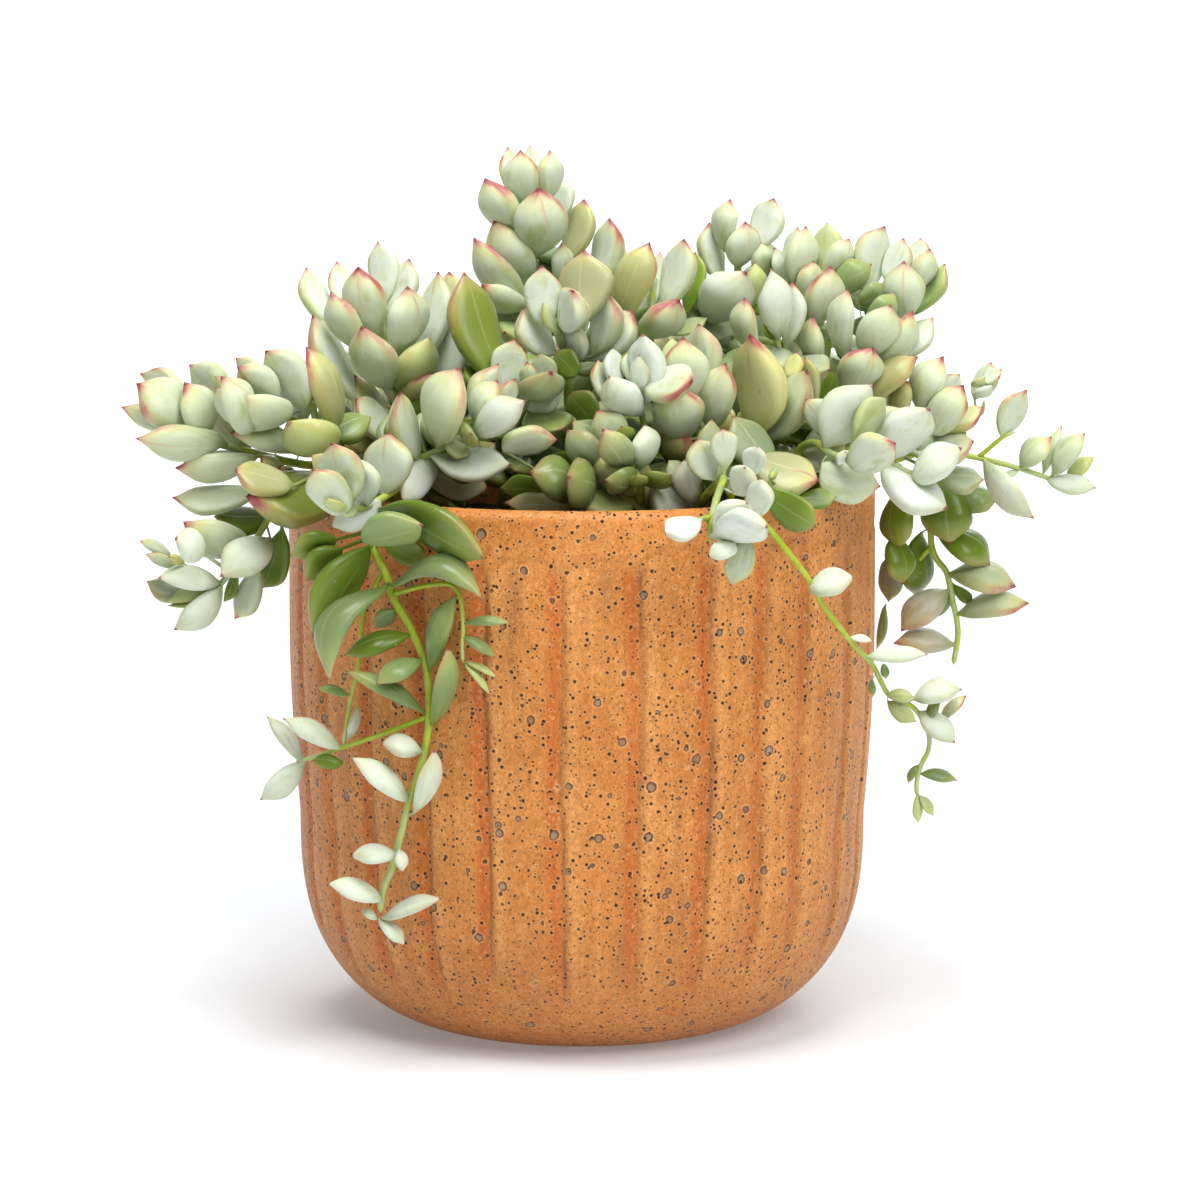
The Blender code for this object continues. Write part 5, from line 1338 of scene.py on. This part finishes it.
# half-width of a leaf along its length
OUTLINE = (
    (0.00, 0.10), (0.05, 0.17), (0.11, 0.40), (0.20, 0.68), (0.32, 0.89), (0.45, 0.99), (0.56, 1.00),
    (0.67, 0.91), (0.77, 0.73), (0.85, 0.50), (0.915, 0.275), (0.955, 0.14), (0.98, 0.075), (1.00, 0.012),
)
STATIONS = np.array([0.0, 0.035, 0.075, 0.12, 0.175, 0.24, 0.32, 0.41, 0.50, 0.59, 0.68, 0.76, 0.83, 0.885, 0.925, 0.955, 0.978, 0.992, 1.0])
ROUND = 18


def outline(t, pointed):
    x = [q[0] for q in OUTLINE]
    y = [q[1] for q in OUTLINE]
    fine = np.linspace(0, 1, 401)
    base = np.interp(fine, x, y)
    kernel = np.hanning(23)
    padded = np.concatenate([2 * base[0] - base[11:0:-1], base, 2 * base[-1] - base[-2:-13:-1]])
    base = np.convolve(padded, kernel / kernel.sum(), "valid")
    w = np.interp(t, fine, base)
    return np.clip(w, 0.012, 1.0) ** np.where(t > 0.5, pointed, 1.0)


def leaf_form(leaf, rng, slender=False):
    """Points, quads, and per-point places of one leaf, in millimetres."""
    a = unit(leaf.tip - leaf.foot)
    twist = math.radians(rng.uniform(-7, 7))
    normal = leaf.normal * math.cos(twist) + np.cross(a, leaf.normal) * math.sin(twist)
    across = np.cross(normal, a)
    green = leaf.tint in "g"
    pointed = rng.uniform(0.85, 1.25) * (0.9 if green else 1.0)
    # the blade reaches back past its foot, part of the way to the stem
    back = leaf.joint - leaf.foot
    gap = float(np.linalg.norm(back))
    spare = min(gap * 0.8, (0.12 if slender else 0.42) * leaf.length) / leaf.length
    t = STATIONS
    run = np.where(t < 0.45, -spare + (0.45 + spare) * t / 0.45, t)
    wide = 1.0 if slender else rng.uniform(1.03, 1.11)
    w = outline(t, pointed) * leaf.width / 2 * wide
    plump = leaf.width * THICK * rng.uniform(1.02, 1.22) * (0.78 if green or slender else 1.0)
    bulk = np.clip(outline(t, 1.0), 0, 1) ** 0.8 * plump
    curl = rng.uniform(-0.25, 0.75) * 0.05 * leaf.length
    wave = rng.uniform(-1, 1) * 0.02 * leaf.length
    lead = leaf.foot - min(0.55 * gap, spare * leaf.length) * a
    centre = []
    for v in run:
        if v >= 0 or gap < 1e-6:
            centre.append(leaf.centre(max(v, 0.0)))
        else:
            u = min(1.0, -v * leaf.length / gap)
            centre.append((1 - u) ** 2 * leaf.foot + 2 * u * (1 - u) * lead + u * u * leaf.joint)
    centre = smooth_run(np.array(centre))
    centre += np.outer(curl * t**3, normal) + np.outer(wave * np.sin(t * math.pi), across)
    phi = np.arange(ROUND) * 2 * math.pi / ROUND
    c, s = np.cos(phi), np.sin(phi)
    x = np.sign(c) * np.abs(c) ** 0.86
    upper = rng.uniform(0.28, 0.40)
    lower = 1.0 - upper
    points, place = [], []
    for k, v in enumerate(t):
        keel = 0.22 * np.clip((v - 0.45) / 0.4, 0, 1)
        y = np.where(s > 0, upper * np.abs(s) ** 0.95, -lower * np.abs(s) ** (0.95 + keel))
        y = y - 0.07 * np.clip(1 - abs(v - 0.35) / 0.45, 0, 1) * np.where(s > 0, (1 - np.abs(x)) ** 1.2, 0)
        skew = 1 + 0.05 * math.sin(6.3 * v + leaf.width)
        ring = centre[k] + np.outer(x * w[k] * np.where(x > 0, skew, 2 - skew), across) + np.outer(y * bulk[k], normal)
        points.append(ring)
        place.append(np.stack([np.full(ROUND, v), x, phi], axis=1))
    # the short stalk that runs back into the stem
    rest = leaf.joint - centre[0]
    if np.linalg.norm(rest) > 0.5:
        first = points[0] - centre[0]
        stalk = [centre[0] + rest * u + first * (1 + 0.3 * u) for u in (1.0, 0.66, 0.33)]
        points = stalk + points
        place = [place[0]] * 3 + place
    n = len(points)
    points = np.vstack([*points, leaf.centre(1.0)[None] + (curl * normal + a * 0.012 * leaf.length)[None]])
    place = np.vstack([*place, [[1.0, 0.0, 0.0]]])
    faces = []
    for k in range(n - 1):
        for j in range(ROUND):
            m = (j + 1) % ROUND
            faces.append((k * ROUND + j, (k + 1) * ROUND + j, (k + 1) * ROUND + m, k * ROUND + m))
    top = (n - 1) * ROUND
    faces += [(top + j, n * ROUND, top + (j + 1) % ROUND) for j in range(ROUND)]
    faces.append(tuple(range(ROUND)))
    return points, faces, place


def smooth_run(points):
    """The same run of points with its kinks eased; its ends stay."""
    for _ in range(2):
        points = np.vstack([points[:1], (points[:-2] + 2 * points[1:-1] + points[2:]) / 4, points[-1:]])
    return points


OPEN_AT = np.array([0.0, 0.28, 0.52, 0.76, 1.0])


def openness(leaves):
    """For points on each leaf, [leaf, 5 along, 4 around], how much of what they face other leaves leave open."""
    golden = math.pi * (3 - math.sqrt(5))
    z = 1 - (np.arange(64) + 0.5) / 64 * 1.7
    flat = np.sqrt(1 - z * z)
    ways = np.stack([flat * np.cos(golden * np.arange(64)), flat * np.sin(golden * np.arange(64)), z], axis=1)
    sky = 0.4 + np.clip(z + 0.3, 0, 1)
    shapes = [leaf.balls() for leaf in leaves]
    centres = np.array([q[0][[1, 4, 7, 10, 12, 3, 5, 9]] for q in shapes])
    radii = np.array([q[1][[1, 4, 7, 10, 12, 3, 5, 9]] for q in shapes]) * 1.12
    middle = centres.mean(axis=1)
    found = np.zeros((len(leaves), 5, 4))
    for n, leaf in enumerate(leaves):
        a = unit(leaf.tip - leaf.foot)
        across = np.cross(leaf.normal, a)
        near = np.linalg.norm(middle - middle[n], axis=1) < 30
        near[n] = False
        c, r = centres[near].reshape(-1, 3), radii[near].reshape(-1)
        if not len(c):
            found[n] = 1
            continue
        for i, t in enumerate(OPEN_AT):
            half = float(outline(np.array([min(max(t, 0.06), 0.97)]), 1.0)[0]) * leaf.width / 2
            for k, (side, reach) in enumerate(((across, half), (leaf.normal, half * THICK), (-across, half), (-leaf.normal, half * THICK * 1.4))):
                p = leaf.centre(t) + side * (reach + 0.3)
                face = ways @ side > 0.05
                d = c - p
                along = d @ ways[face].T
                off = (d * d).sum(axis=1)[:, None] - along**2
                shut = ((along > 0) & (off < (r * r)[:, None])).any(axis=0)
                w = sky[face]
                found[n, i, k] = float((w * ~shut).sum() / w.sum())
    return found


def open_on(grid, t, turn):
    """The openness grid of one leaf read at places t along it and angles turn around it."""
    along = np.clip(np.interp(t, OPEN_AT, np.arange(5)), 0, 3.999)
    i = along.astype(int)
    u = along - i
    round_ = (turn / (math.pi / 2)) % 4
    k = round_.astype(int) % 4
    v = round_ - np.floor(round_)
    v = v * v * (3 - 2 * v)
    low = grid[i, k] * (1 - v) + grid[i, (k + 1) % 4] * v
    high = grid[i + 1, k] * (1 - v) + grid[i + 1, (k + 1) % 4] * v
    return low * (1 - u) + high * u


def stem_form(line, radius, sides=12):
    """A fleshy stem with a faint swelling at every pair of leaves."""
    pts = smooth(line[:: max(1, min(2, len(line) // 4))], 1.1) if len(line) > 4 else line
    ways = np.gradient(pts, axis=0)
    run = np.concatenate([[0], np.cumsum(np.linalg.norm(np.diff(pts, axis=0), axis=1))])
    side = unit(np.cross(ways[0], [0.31, 0.9, 0.2]))
    rings, place = [], []
    for k, (p, w) in enumerate(zip(pts, ways)):
        w = unit(w)
        side = unit(side - w * float(side @ w))
        over = np.cross(w, side)
        share = k / (len(pts) - 1)
        r = radius * (1 - 0.28 * share) * (1 + 0.07 * max(0.0, math.cos(run[k] * 2 * math.pi / 9.0)) ** 6)
        r *= math.sqrt(max(0.02, 1 - max(0.0, (run[k] - run[-1] + radius) / radius) ** 2))
        angles = np.arange(sides) * 2 * math.pi / sides
        rings.append(p + r * (np.outer(np.cos(angles), side) + np.outer(np.sin(angles), over)))
        place.append(np.tile([share, share**0.8, 0.0], (sides, 1)))
    n = len(rings)
    faces = []
    for k in range(n - 1):
        for j in range(sides):
            m = (j + 1) % sides
            faces.append((k * sides + j, k * sides + m, (k + 1) * sides + m, (k + 1) * sides + j))
    faces.append(tuple(reversed(range(sides))))
    faces.append(tuple((n - 1) * sides + j for j in range(sides)))
    return np.vstack(rings), faces, np.vstack(place)


def mesh_piece(name, points, faces, slots, materials):
    mesh = bpy.data.meshes.new(name)
    mesh.from_pydata((np.asarray(points) * 0.001).tolist(), [], faces)
    for m in materials:
        mesh.materials.append(m)
    mesh.polygons.foreach_set("material_index", np.asarray(slots, np.int32))
    mesh.polygons.foreach_set("use_smooth", np.ones(len(mesh.polygons), bool))
    obj = bpy.data.objects.new(name, mesh)
    bpy.context.scene.collection.objects.link(obj)
    return obj


def write_attribute(obj, name, kind, values):
    layer = obj.data.attributes.new(name, kind, "POINT")
    layer.data.foreach_set("color" if kind == "FLOAT_COLOR" else "vector", np.asarray(values, np.float32).ravel())


def trimmed(line, joints):
    """The stem's line without a bare run past its last leaf."""
    line = np.array(line, float)
    if not len(joints):
        return line
    bare = [np.linalg.norm(np.array(joints) - p, axis=1).min() > 9.0 for p in line]
    last = len(line)
    while last > 4 and bare[last - 1]:
        last -= 1
    return line[: last + 1]


def grow_branch(name, lines, leaves, sky, leaf_look, stem_look, rng):
    slender = name.startswith(("strand", "right_far", "left_lower"))
    thin_leaves = slender and not name.startswith("left_lower")
    points, faces, slots, place, kind, more, skin = [], [], [], [], [], [], []
    count = 0
    for n, (radius, line) in enumerate(lines):
        p, f, q = stem_form(trimmed(line, [leaf.joint for leaf in leaves]), radius)
        points.append(p)
        faces += [tuple(i + count for i in face) for face in f]
        slots += [1] * len(f)
        place.append(q)
        kind.append(np.tile([0.5, 0.5, 0.0], (len(p), 1)))
        more.append(np.zeros((len(p), 3)))
        tone = np.array([0.36, 0.46, 0.020]) if name.startswith(("strand", "right_h", "right_far")) else np.array([0.22, 0.30, 0.05])
        skin.append(np.tile([*tone, 1.0], (len(p), 1)))
        count += len(p)
    for leaf, grid in zip(leaves, sky):
        p, f, q = leaf_form(leaf, rng, thin_leaves or slender and leaf.tint == "w")
        colour, wax, red, lime, keel = LOOKS[leaf.tint]
        colour = np.array(colour) * rng.uniform(0.85, 1.15)
        # painted shade: leaves deep in the crown, and plain leaves low down, get less wax, less red and a darker green
        # skin
        deep = float(np.clip((0.60 - grid.mean()) / 0.38, 0, 1)) * (1.0 if leaf.plain else 0.35)
        # painted shade: leaves low on the plant, under the crown, lose wax and turn darker
        low_shade = float(np.clip((168 - leaf.centre(0.5)[2]) / 45, 0, 1)) * (0.3 if leaf.tint == "w" else 1.0)
        wax *= 1 - 0.34 * low_shade
        colour = colour * (1 - 0.28 * low_shade)
        if leaf.plain:
            deep = max(deep, float(np.clip((162 - leaf.centre(0.5)[2]) / 28, 0, 0.95)))
        wax *= 1 - 0.85 * deep
        red *= 1 - 0.6 * deep
        lime *= 1 - 0.6 * deep
        colour = colour * (1 - 0.75 * deep) + np.array([0.090, 0.135, 0.012]) * 0.75 * deep
        free = open_on(grid, q[:, 0], q[:, 2])
        if not leaf.plain:
            free = np.minimum(free * 1.12 + 0.05, 1.0)
        points.append(p)
        faces += [tuple(i + count for i in face) for face in f]
        slots += [0] * len(f)
        place.append(q)
        kind.append(np.tile([rng.uniform(), min(1.0, wax * rng.uniform(0.94, 1.04)), red * rng.uniform(0.6, 1.15)], (len(p), 1)))
        more.append(np.stack([np.full(len(p), lime * rng.uniform(0.4, 1.3)), np.full(len(p), keel * (rng.uniform() < 0.55 or leaf.tint == "y") * rng.uniform(0.4, 1.3)), free], axis=1))
        skin.append(np.tile([*colour, 1.0], (len(p), 1)))
        count += len(p)
    obj = mesh_piece(name + "_grown", np.vstack(points), faces, slots, [leaf_look, stem_look])
    write_attribute(obj, "leaf_place", "FLOAT_VECTOR", np.vstack(place))
    write_attribute(obj, "leaf_kind", "FLOAT_VECTOR", np.vstack(kind))
    write_attribute(obj, "leaf_more", "FLOAT_VECTOR", np.vstack(more))
    write_attribute(obj, "leaf_skin", "FLOAT_COLOR", np.vstack(skin))
    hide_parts(name)
    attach(obj, "root")
    return obj


# ---- the cup ----

# Where the grooves run, in degrees from the front (+ to the right), and how strong each is.
FRONT_GROOVES = (
    (-57.9, 0.7), (-44.1, 0.9), (-30.5, 0.9), (-17.9, 1.0), (-3.5, 0.85), (11.1, 0.85), (25.1, 0.95),
    (37.0, 0.8), (47.7, 0.8), (63.2, 0.7), (76.0, 0.7),
)
# Soft brown runs and thin pale lines between the grooves, the same way.
FRONT_STAINS = ((-10.9, 0.9), (6.4, 0.8), (18.3, 0.7), (31.0, 0.4), (-38.0, 0.5), (-52.0, 0.5))
FRONT_LINES = ((-12.8, 0.6), (2.7, 0.8), (-24.5, 0.5), (17.0, 0.7), (30.5, 0.8), (42.0, 0.6), (54.9, 0.6))


def grooves():
    found = list(FRONT_GROOVES)
    rng = np.random.default_rng(4)
    angle = 76.0
    while angle + 13.8 < 302 - 6:
        angle += 13.8 + rng.uniform(-1.3, 1.3)
        found.append((angle, rng.uniform(0.65, 1.0)))
    return sorted(((a + 180) % 360 - 180, s) for a, s in found)


def pot_piece(look):
    count = 600
    turn = (np.arange(count) + 0.5) / count * 360 - 180
    lines = grooves()
    at = np.array([q[0] for q in lines])
    force = np.array([q[1] for q in lines])
    # for each angle: arc distance to the groove on its right (<0) and left (>0), and place across its rib
    gap = (turn[:, None] - at[None] + 180) % 360 - 180
    k = np.abs(gap).argmin(axis=1)
    d = gap[np.arange(count), k] * math.pi / 180 * POT_R
    power = force[k]
    before = np.where(gap > 0, gap, 999).min(axis=1)
    after = np.where(gap <= 0, -gap, 999).min(axis=1)
    across = (before - after) / (before + after)  # -1 at the left groove, 1 at the right one
    left_id = np.where(gap > 0, gap, 999).argmin(axis=1)
    rng = np.random.default_rng(9)
    tops = rng.uniform(118.5, 121.5, len(lines))[left_id]
    ends = rng.uniform(0.0, 8.0, len(lines))[k]
    half = (before + after) / 2 * math.pi / 180 * POT_R
    more = np.random.default_rng(12)
    stains = FRONT_STAINS + tuple((a + more.uniform(-6, 6), more.uniform(0.4, 0.9)) for a in range(70, 300, 21))
    pales = FRONT_LINES + tuple((a + more.uniform(-5, 5), more.uniform(0.4, 0.8)) for a in range(75, 300, 17))

    outer = [(FOOT_R * q, 0.0) for q in (0.35, 0.7, 0.9, 0.97, 1.0)]
    for q in np.linspace(0, 1, 46)[1:]:
        z = BELLY_Z * q**2.1
        outer.append((float(outer_r(z)), z))
    for z in np.linspace(BELLY_Z, 116, 42)[1:]:
        outer.append((float(outer_r(z)), z))
    for z in np.linspace(116, 127.1, 17)[1:]:
        outer.append((POT_R, z))
    lip = [(67.2 + 2.8 * math.cos(v), 127.1 + 2.8 * math.sin(v)) for v in np.linspace(0, math.pi, 15)[1:]]
    inside = [(inner_r(z), z) for z in (124.0, 121.0, 118.0, 114.0, 90.0, 60.0, 40.0, 25.0, 16.0, 11.0)]
    inside += [(inner_r(FLOOR_Z) - 2.0, FLOOR_Z), (20.0, FLOOR_Z)]
    rows, bands, creases = [], [], []
    sin, cos = np.sin(np.radians(turn)), np.cos(np.radians(turn))
    for part, profile in ((0, outer), (1, lip), (2, inside)):
        for r, z in profile:
            ring = np.full(count, float(r))
            red = np.zeros(count)
            pale = np.zeros(count)
            line = np.zeros(count)
            shade = np.zeros(count)
            stain = np.zeros(count)
            height = np.full(count, float(z))
            if part == 0 and z > 0.5:
                low = np.clip((z - 9 - ends) / 16, 0, 1)
                scale = outer_r(z) / POT_R
                dd = d * scale + 0.35 * np.sin(z * 0.09 + k * 1.7) + 0.15 * np.sin(z * 0.31 + k)
                fade = low * low * (3 - 2 * low) * power
                top = tops - 3.2 * np.abs(across) ** 3
                under = np.clip((top - z) / 2.2, 0, 1)
                fade = fade * under
                # the wall slopes down to each groove from the left and steps back up at its right
                slope = np.where(dd < 0, np.clip(1 + dd / 4.2, 0, 1), np.clip(1 - dd / 0.8, 0, 1))
                slope = slope * slope * (3 - 2 * slope)
                ring -= 0.92 * slope * fade
                belly = np.clip(1 - across**2, 0, 1)
                ring += 0.16 * belly * low * under
                arch = np.exp(-(((z - top - 0.4) / 0.9) ** 2)) * (np.abs(across) < 1.0)
                ring -= 0.16 * arch * low
                shade = np.maximum(shade, 0.35 * arch * low)
                red = np.where(dd < 0.2, np.clip(1.15 - np.abs(dd + 1.9) / 2.3, 0, 1), 0) * fade
                red = np.maximum(red, 0.35 * np.exp(-(((z - 3) / 5) ** 2)))
                pale = np.where(dd > 0, np.exp(-(((dd - 2.4) / 1.7) ** 2)), 0) * fade
                # painted shadow: a thin dark line along the step at each groove
                line = np.exp(-(((dd - 0.20) / 0.26) ** 2)) * fade * (0.60 + 0.40 * np.sin(z * 0.05 + 2.1 * k))
                shade = np.maximum(shade, np.where(dd > 0, np.exp(-((dd / 1.4) ** 2)), np.exp(-((dd / 0.6) ** 2))) * fade * (0.50 + 0.30 * np.sin(z * 0.11 + k)))
                sway = 1.6 * math.sin(z * 0.045) / POT_R * 57.3
                for a, much in stains:
                    off = ((turn - a - sway + 180) % 360 - 180) * math.pi / 180 * POT_R * scale
                    stain = np.maximum(stain, much * np.exp(-((off / 1.9) ** 2)) * (0.45 + 0.55 * math.sin(z * 0.06 + a)) * low * under)
                for a, much in pales:
                    off = ((turn - a - sway * 0.5 + 180) % 360 - 180) * math.pi / 180 * POT_R * scale
                    pale = np.maximum(pale, much * np.exp(-((off / 0.7) ** 2)) * (0.6 + 0.4 * math.sin(z * 0.09 + 2 * a)) * low * under)
                stain = np.clip(stain, 0, 1)
            if part == 0 and z > 120:
                shade = np.maximum(shade, 0.0)
            wob = np.array([noise.noise(Vector((s * r * 0.03, c * r * 0.03, z * 0.03))) for s, c in zip(sin, cos)]) if part < 2 else 0
            if part < 2 and z > 2:
                ring = ring + 0.22 * wob
                if z > 126:
                    height = height + 0.10 * wob
            rows.append(np.stack([ring * sin, -ring * cos, np.maximum(height, 0)], axis=1))
            bands.append(np.stack([red, pale, np.full(count, 1.0 if part == 2 else 0.0)], axis=1))
            creases.append(np.stack([line, shade, stain], axis=1))
    n = len(rows)
    points = np.vstack([*rows, [[0, 0, 0]], [[0, 0, FLOOR_Z]]])
    j = np.arange(count)
    m = (j + 1) % count
    faces = []
    for row in range(n - 1):
        faces += np.stack([row * count + j, row * count + m, (row + 1) * count + m, (row + 1) * count + j], axis=1).tolist()
    faces += [(n * count, b, a) for a, b in zip(j.tolist(), m.tolist())]
    last = (n - 1) * count
    faces += [(n * count + 1, last + a, last + b) for a, b in zip(j.tolist(), m.tolist())]
    obj = mesh_piece("cup", points, faces, np.zeros(len(faces)), [look])
    write_attribute(obj, "pot_bands", "FLOAT_VECTOR", np.vstack([*bands, [[0, 0, 0]], [[0, 0, 1]]]))
    write_attribute(obj, "pot_lines", "FLOAT_VECTOR", np.vstack([*creases, [[0, 0, 0]], [[0, 0, 0]]]))
    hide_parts("pot")
    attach(obj, "root")
    return obj


def soil_piece(look):
    """Crumbly potting mix: a lumpy top over a plain plug."""
    count = 150
    turn = np.arange(count) * 2 * math.pi / count
    edge = inner_r(SOIL_Z) - 0.4
    rings = []
    for r, z in ((inner_r(FLOOR_Z) - 3.0, FLOOR_Z + 0.3), (inner_r(20.0) - 0.9, 20.3), (inner_r(BELLY_Z) - 0.8, BELLY_Z), (inner_r(100.0) - 0.6, SOIL_Z - 2.5)):
        rings.append(np.stack([r * np.sin(turn), -r * np.cos(turn), np.full(count, z)], axis=1))
    for r in np.linspace(edge, 2.0, 44):
        ring = []
        for a in turn:
            x, y = r * math.sin(a), -r * math.cos(a)
            lump = noise.fractal(Vector((x * 0.16, y * 0.16, 3.1)), 0.9, 2.1, 4)
            crumb = noise.cell(Vector((x * 0.55, y * 0.55, 0.0))) - 0.5
            ring.append((x, y, SOIL_Z + 0.9 * lump + 0.55 * crumb - 0.3))
        rings.append(np.array(ring))
    n = len(rings)
    points = np.vstack([*rings, [[0, 0, FLOOR_Z + 0.3]], [[0, 0, SOIL_Z]]])
    j = np.arange(count)
    m = (j + 1) % count
    faces = []
    for row in range(n - 1):
        faces += np.stack([row * count + j, row * count + m, (row + 1) * count + m, (row + 1) * count + j], axis=1).tolist()
    faces += [(n * count, b, a) for a, b in zip(j.tolist(), m.tolist())]
    last = (n - 1) * count
    faces += [(n * count + 1, last + a, last + b) for a, b in zip(j.tolist(), m.tolist())]
    obj = mesh_piece("potting_mix", points, faces, np.zeros(len(faces)), [look])
    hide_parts("soil")
    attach(obj, "root")
    return obj


# ---- the studio ----


def sweep():
    """A white sweep: floor, a wide bend and a wall far behind, glowing as painted light."""
    profile = [(-2.2, 0.0), (1.2, 0.0)]
    profile += [(1.2 + 0.9 * math.sin(v), 0.9 - 0.9 * math.cos(v)) for v in np.linspace(0, math.pi / 2, 20)[1:]]
    profile += [(2.1, 2.6)]
    points = [(x * 1000, y * 1000, z * 1000) for y, z in profile for x in (-2.6, 2.6)]
    faces = [(2 * k, 2 * k + 1, 2 * k + 3, 2 * k + 2) for k in range(len(profile) - 1)]
    g = Graph("sweep")
    _, y, _ = g.split(g.place())
    # painted light: the sweep glows, weakly on the floor near the front and more towards the wall behind
    glow = g.step(y, 0.20, 1.5, 0.18, 0.80)
    look = g.finish(
        Base_Color=(0.700, 0.725, 0.750),
        Roughness=0.75,
        Specular_IOR_Level=0.15,
        Emission_Color=(1.0, 1.0, 1.0),
        Emission_Strength=glow,
    )
    obj = mesh_piece("sweep", points, faces, np.zeros(len(faces)), [look])


def lamp(name, where, at, size, power, colour=(1, 1, 1)):
    data = bpy.data.lights.new(name, "AREA")
    data.shape = "DISK"
    data.size = size
    data.energy = power
    data.color = colour
    obj = bpy.data.objects.new(name, data)
    obj.location = where
    obj.rotation_mode = "QUATERNION"
    obj.rotation_quaternion = (Vector(at) - Vector(where)).to_track_quat("-Z", "Y")
    bpy.context.scene.collection.objects.link(obj)


def studio():
    scene = bpy.context.scene
    sweep()
    world = bpy.data.worlds.new("studio")
    world.use_nodes = True
    world.node_tree.nodes["Background"].inputs["Color"].default_value = (1.0, 1.0, 1.0, 1)
    world.node_tree.nodes["Background"].inputs["Strength"].default_value = 0.11
    scene.world = world
    middle = (0.0, 0.0, 0.12)
    lamp("key", (0.62, -1.00, 1.12), middle, 1.0, 15.6, (1.0, 0.985, 0.965))
    lamp("top", (-0.10, -0.34, 1.35), middle, 0.8, 16.5)
    lamp("left", (-1.15, -0.75, 0.55), middle, 0.9, 0.5, (0.97, 0.985, 1.0))
    lamp("back", (0.35, 1.0, 0.95), (0, 0, 0.16), 0.6, 3.6)
    camera = bpy.data.objects.new("camera", bpy.data.cameras.new("camera"))
    camera.location = (0.00432, -1.0, 0.2439)
    camera.rotation_euler = (math.radians(90 - 8.18), 0, 0)
    camera.data.lens = 126.21
    camera.data.sensor_width = 36.0
    camera.data.clip_start = 0.05
    scene.collection.objects.link(camera)
    scene.camera = camera
    scene.view_settings.view_transform = "Standard"
    scene.view_settings.look = "None"


def main():
    leaf_look, stem_look = leaf_material(), stem_material()
    pot_piece(pot_material())
    soil_piece(soil_material())
    branches, leaves = plant()
    rng = np.random.default_rng(3)
    sky = openness(leaves)
    for b, (name, lines) in enumerate(branches):
        mine = [k for k, leaf in enumerate(leaves) if leaf.branch == b]
        grow_branch(name, lines, [leaves[k] for k in mine], sky[mine], leaf_look, stem_look, rng)
    studio()


main()
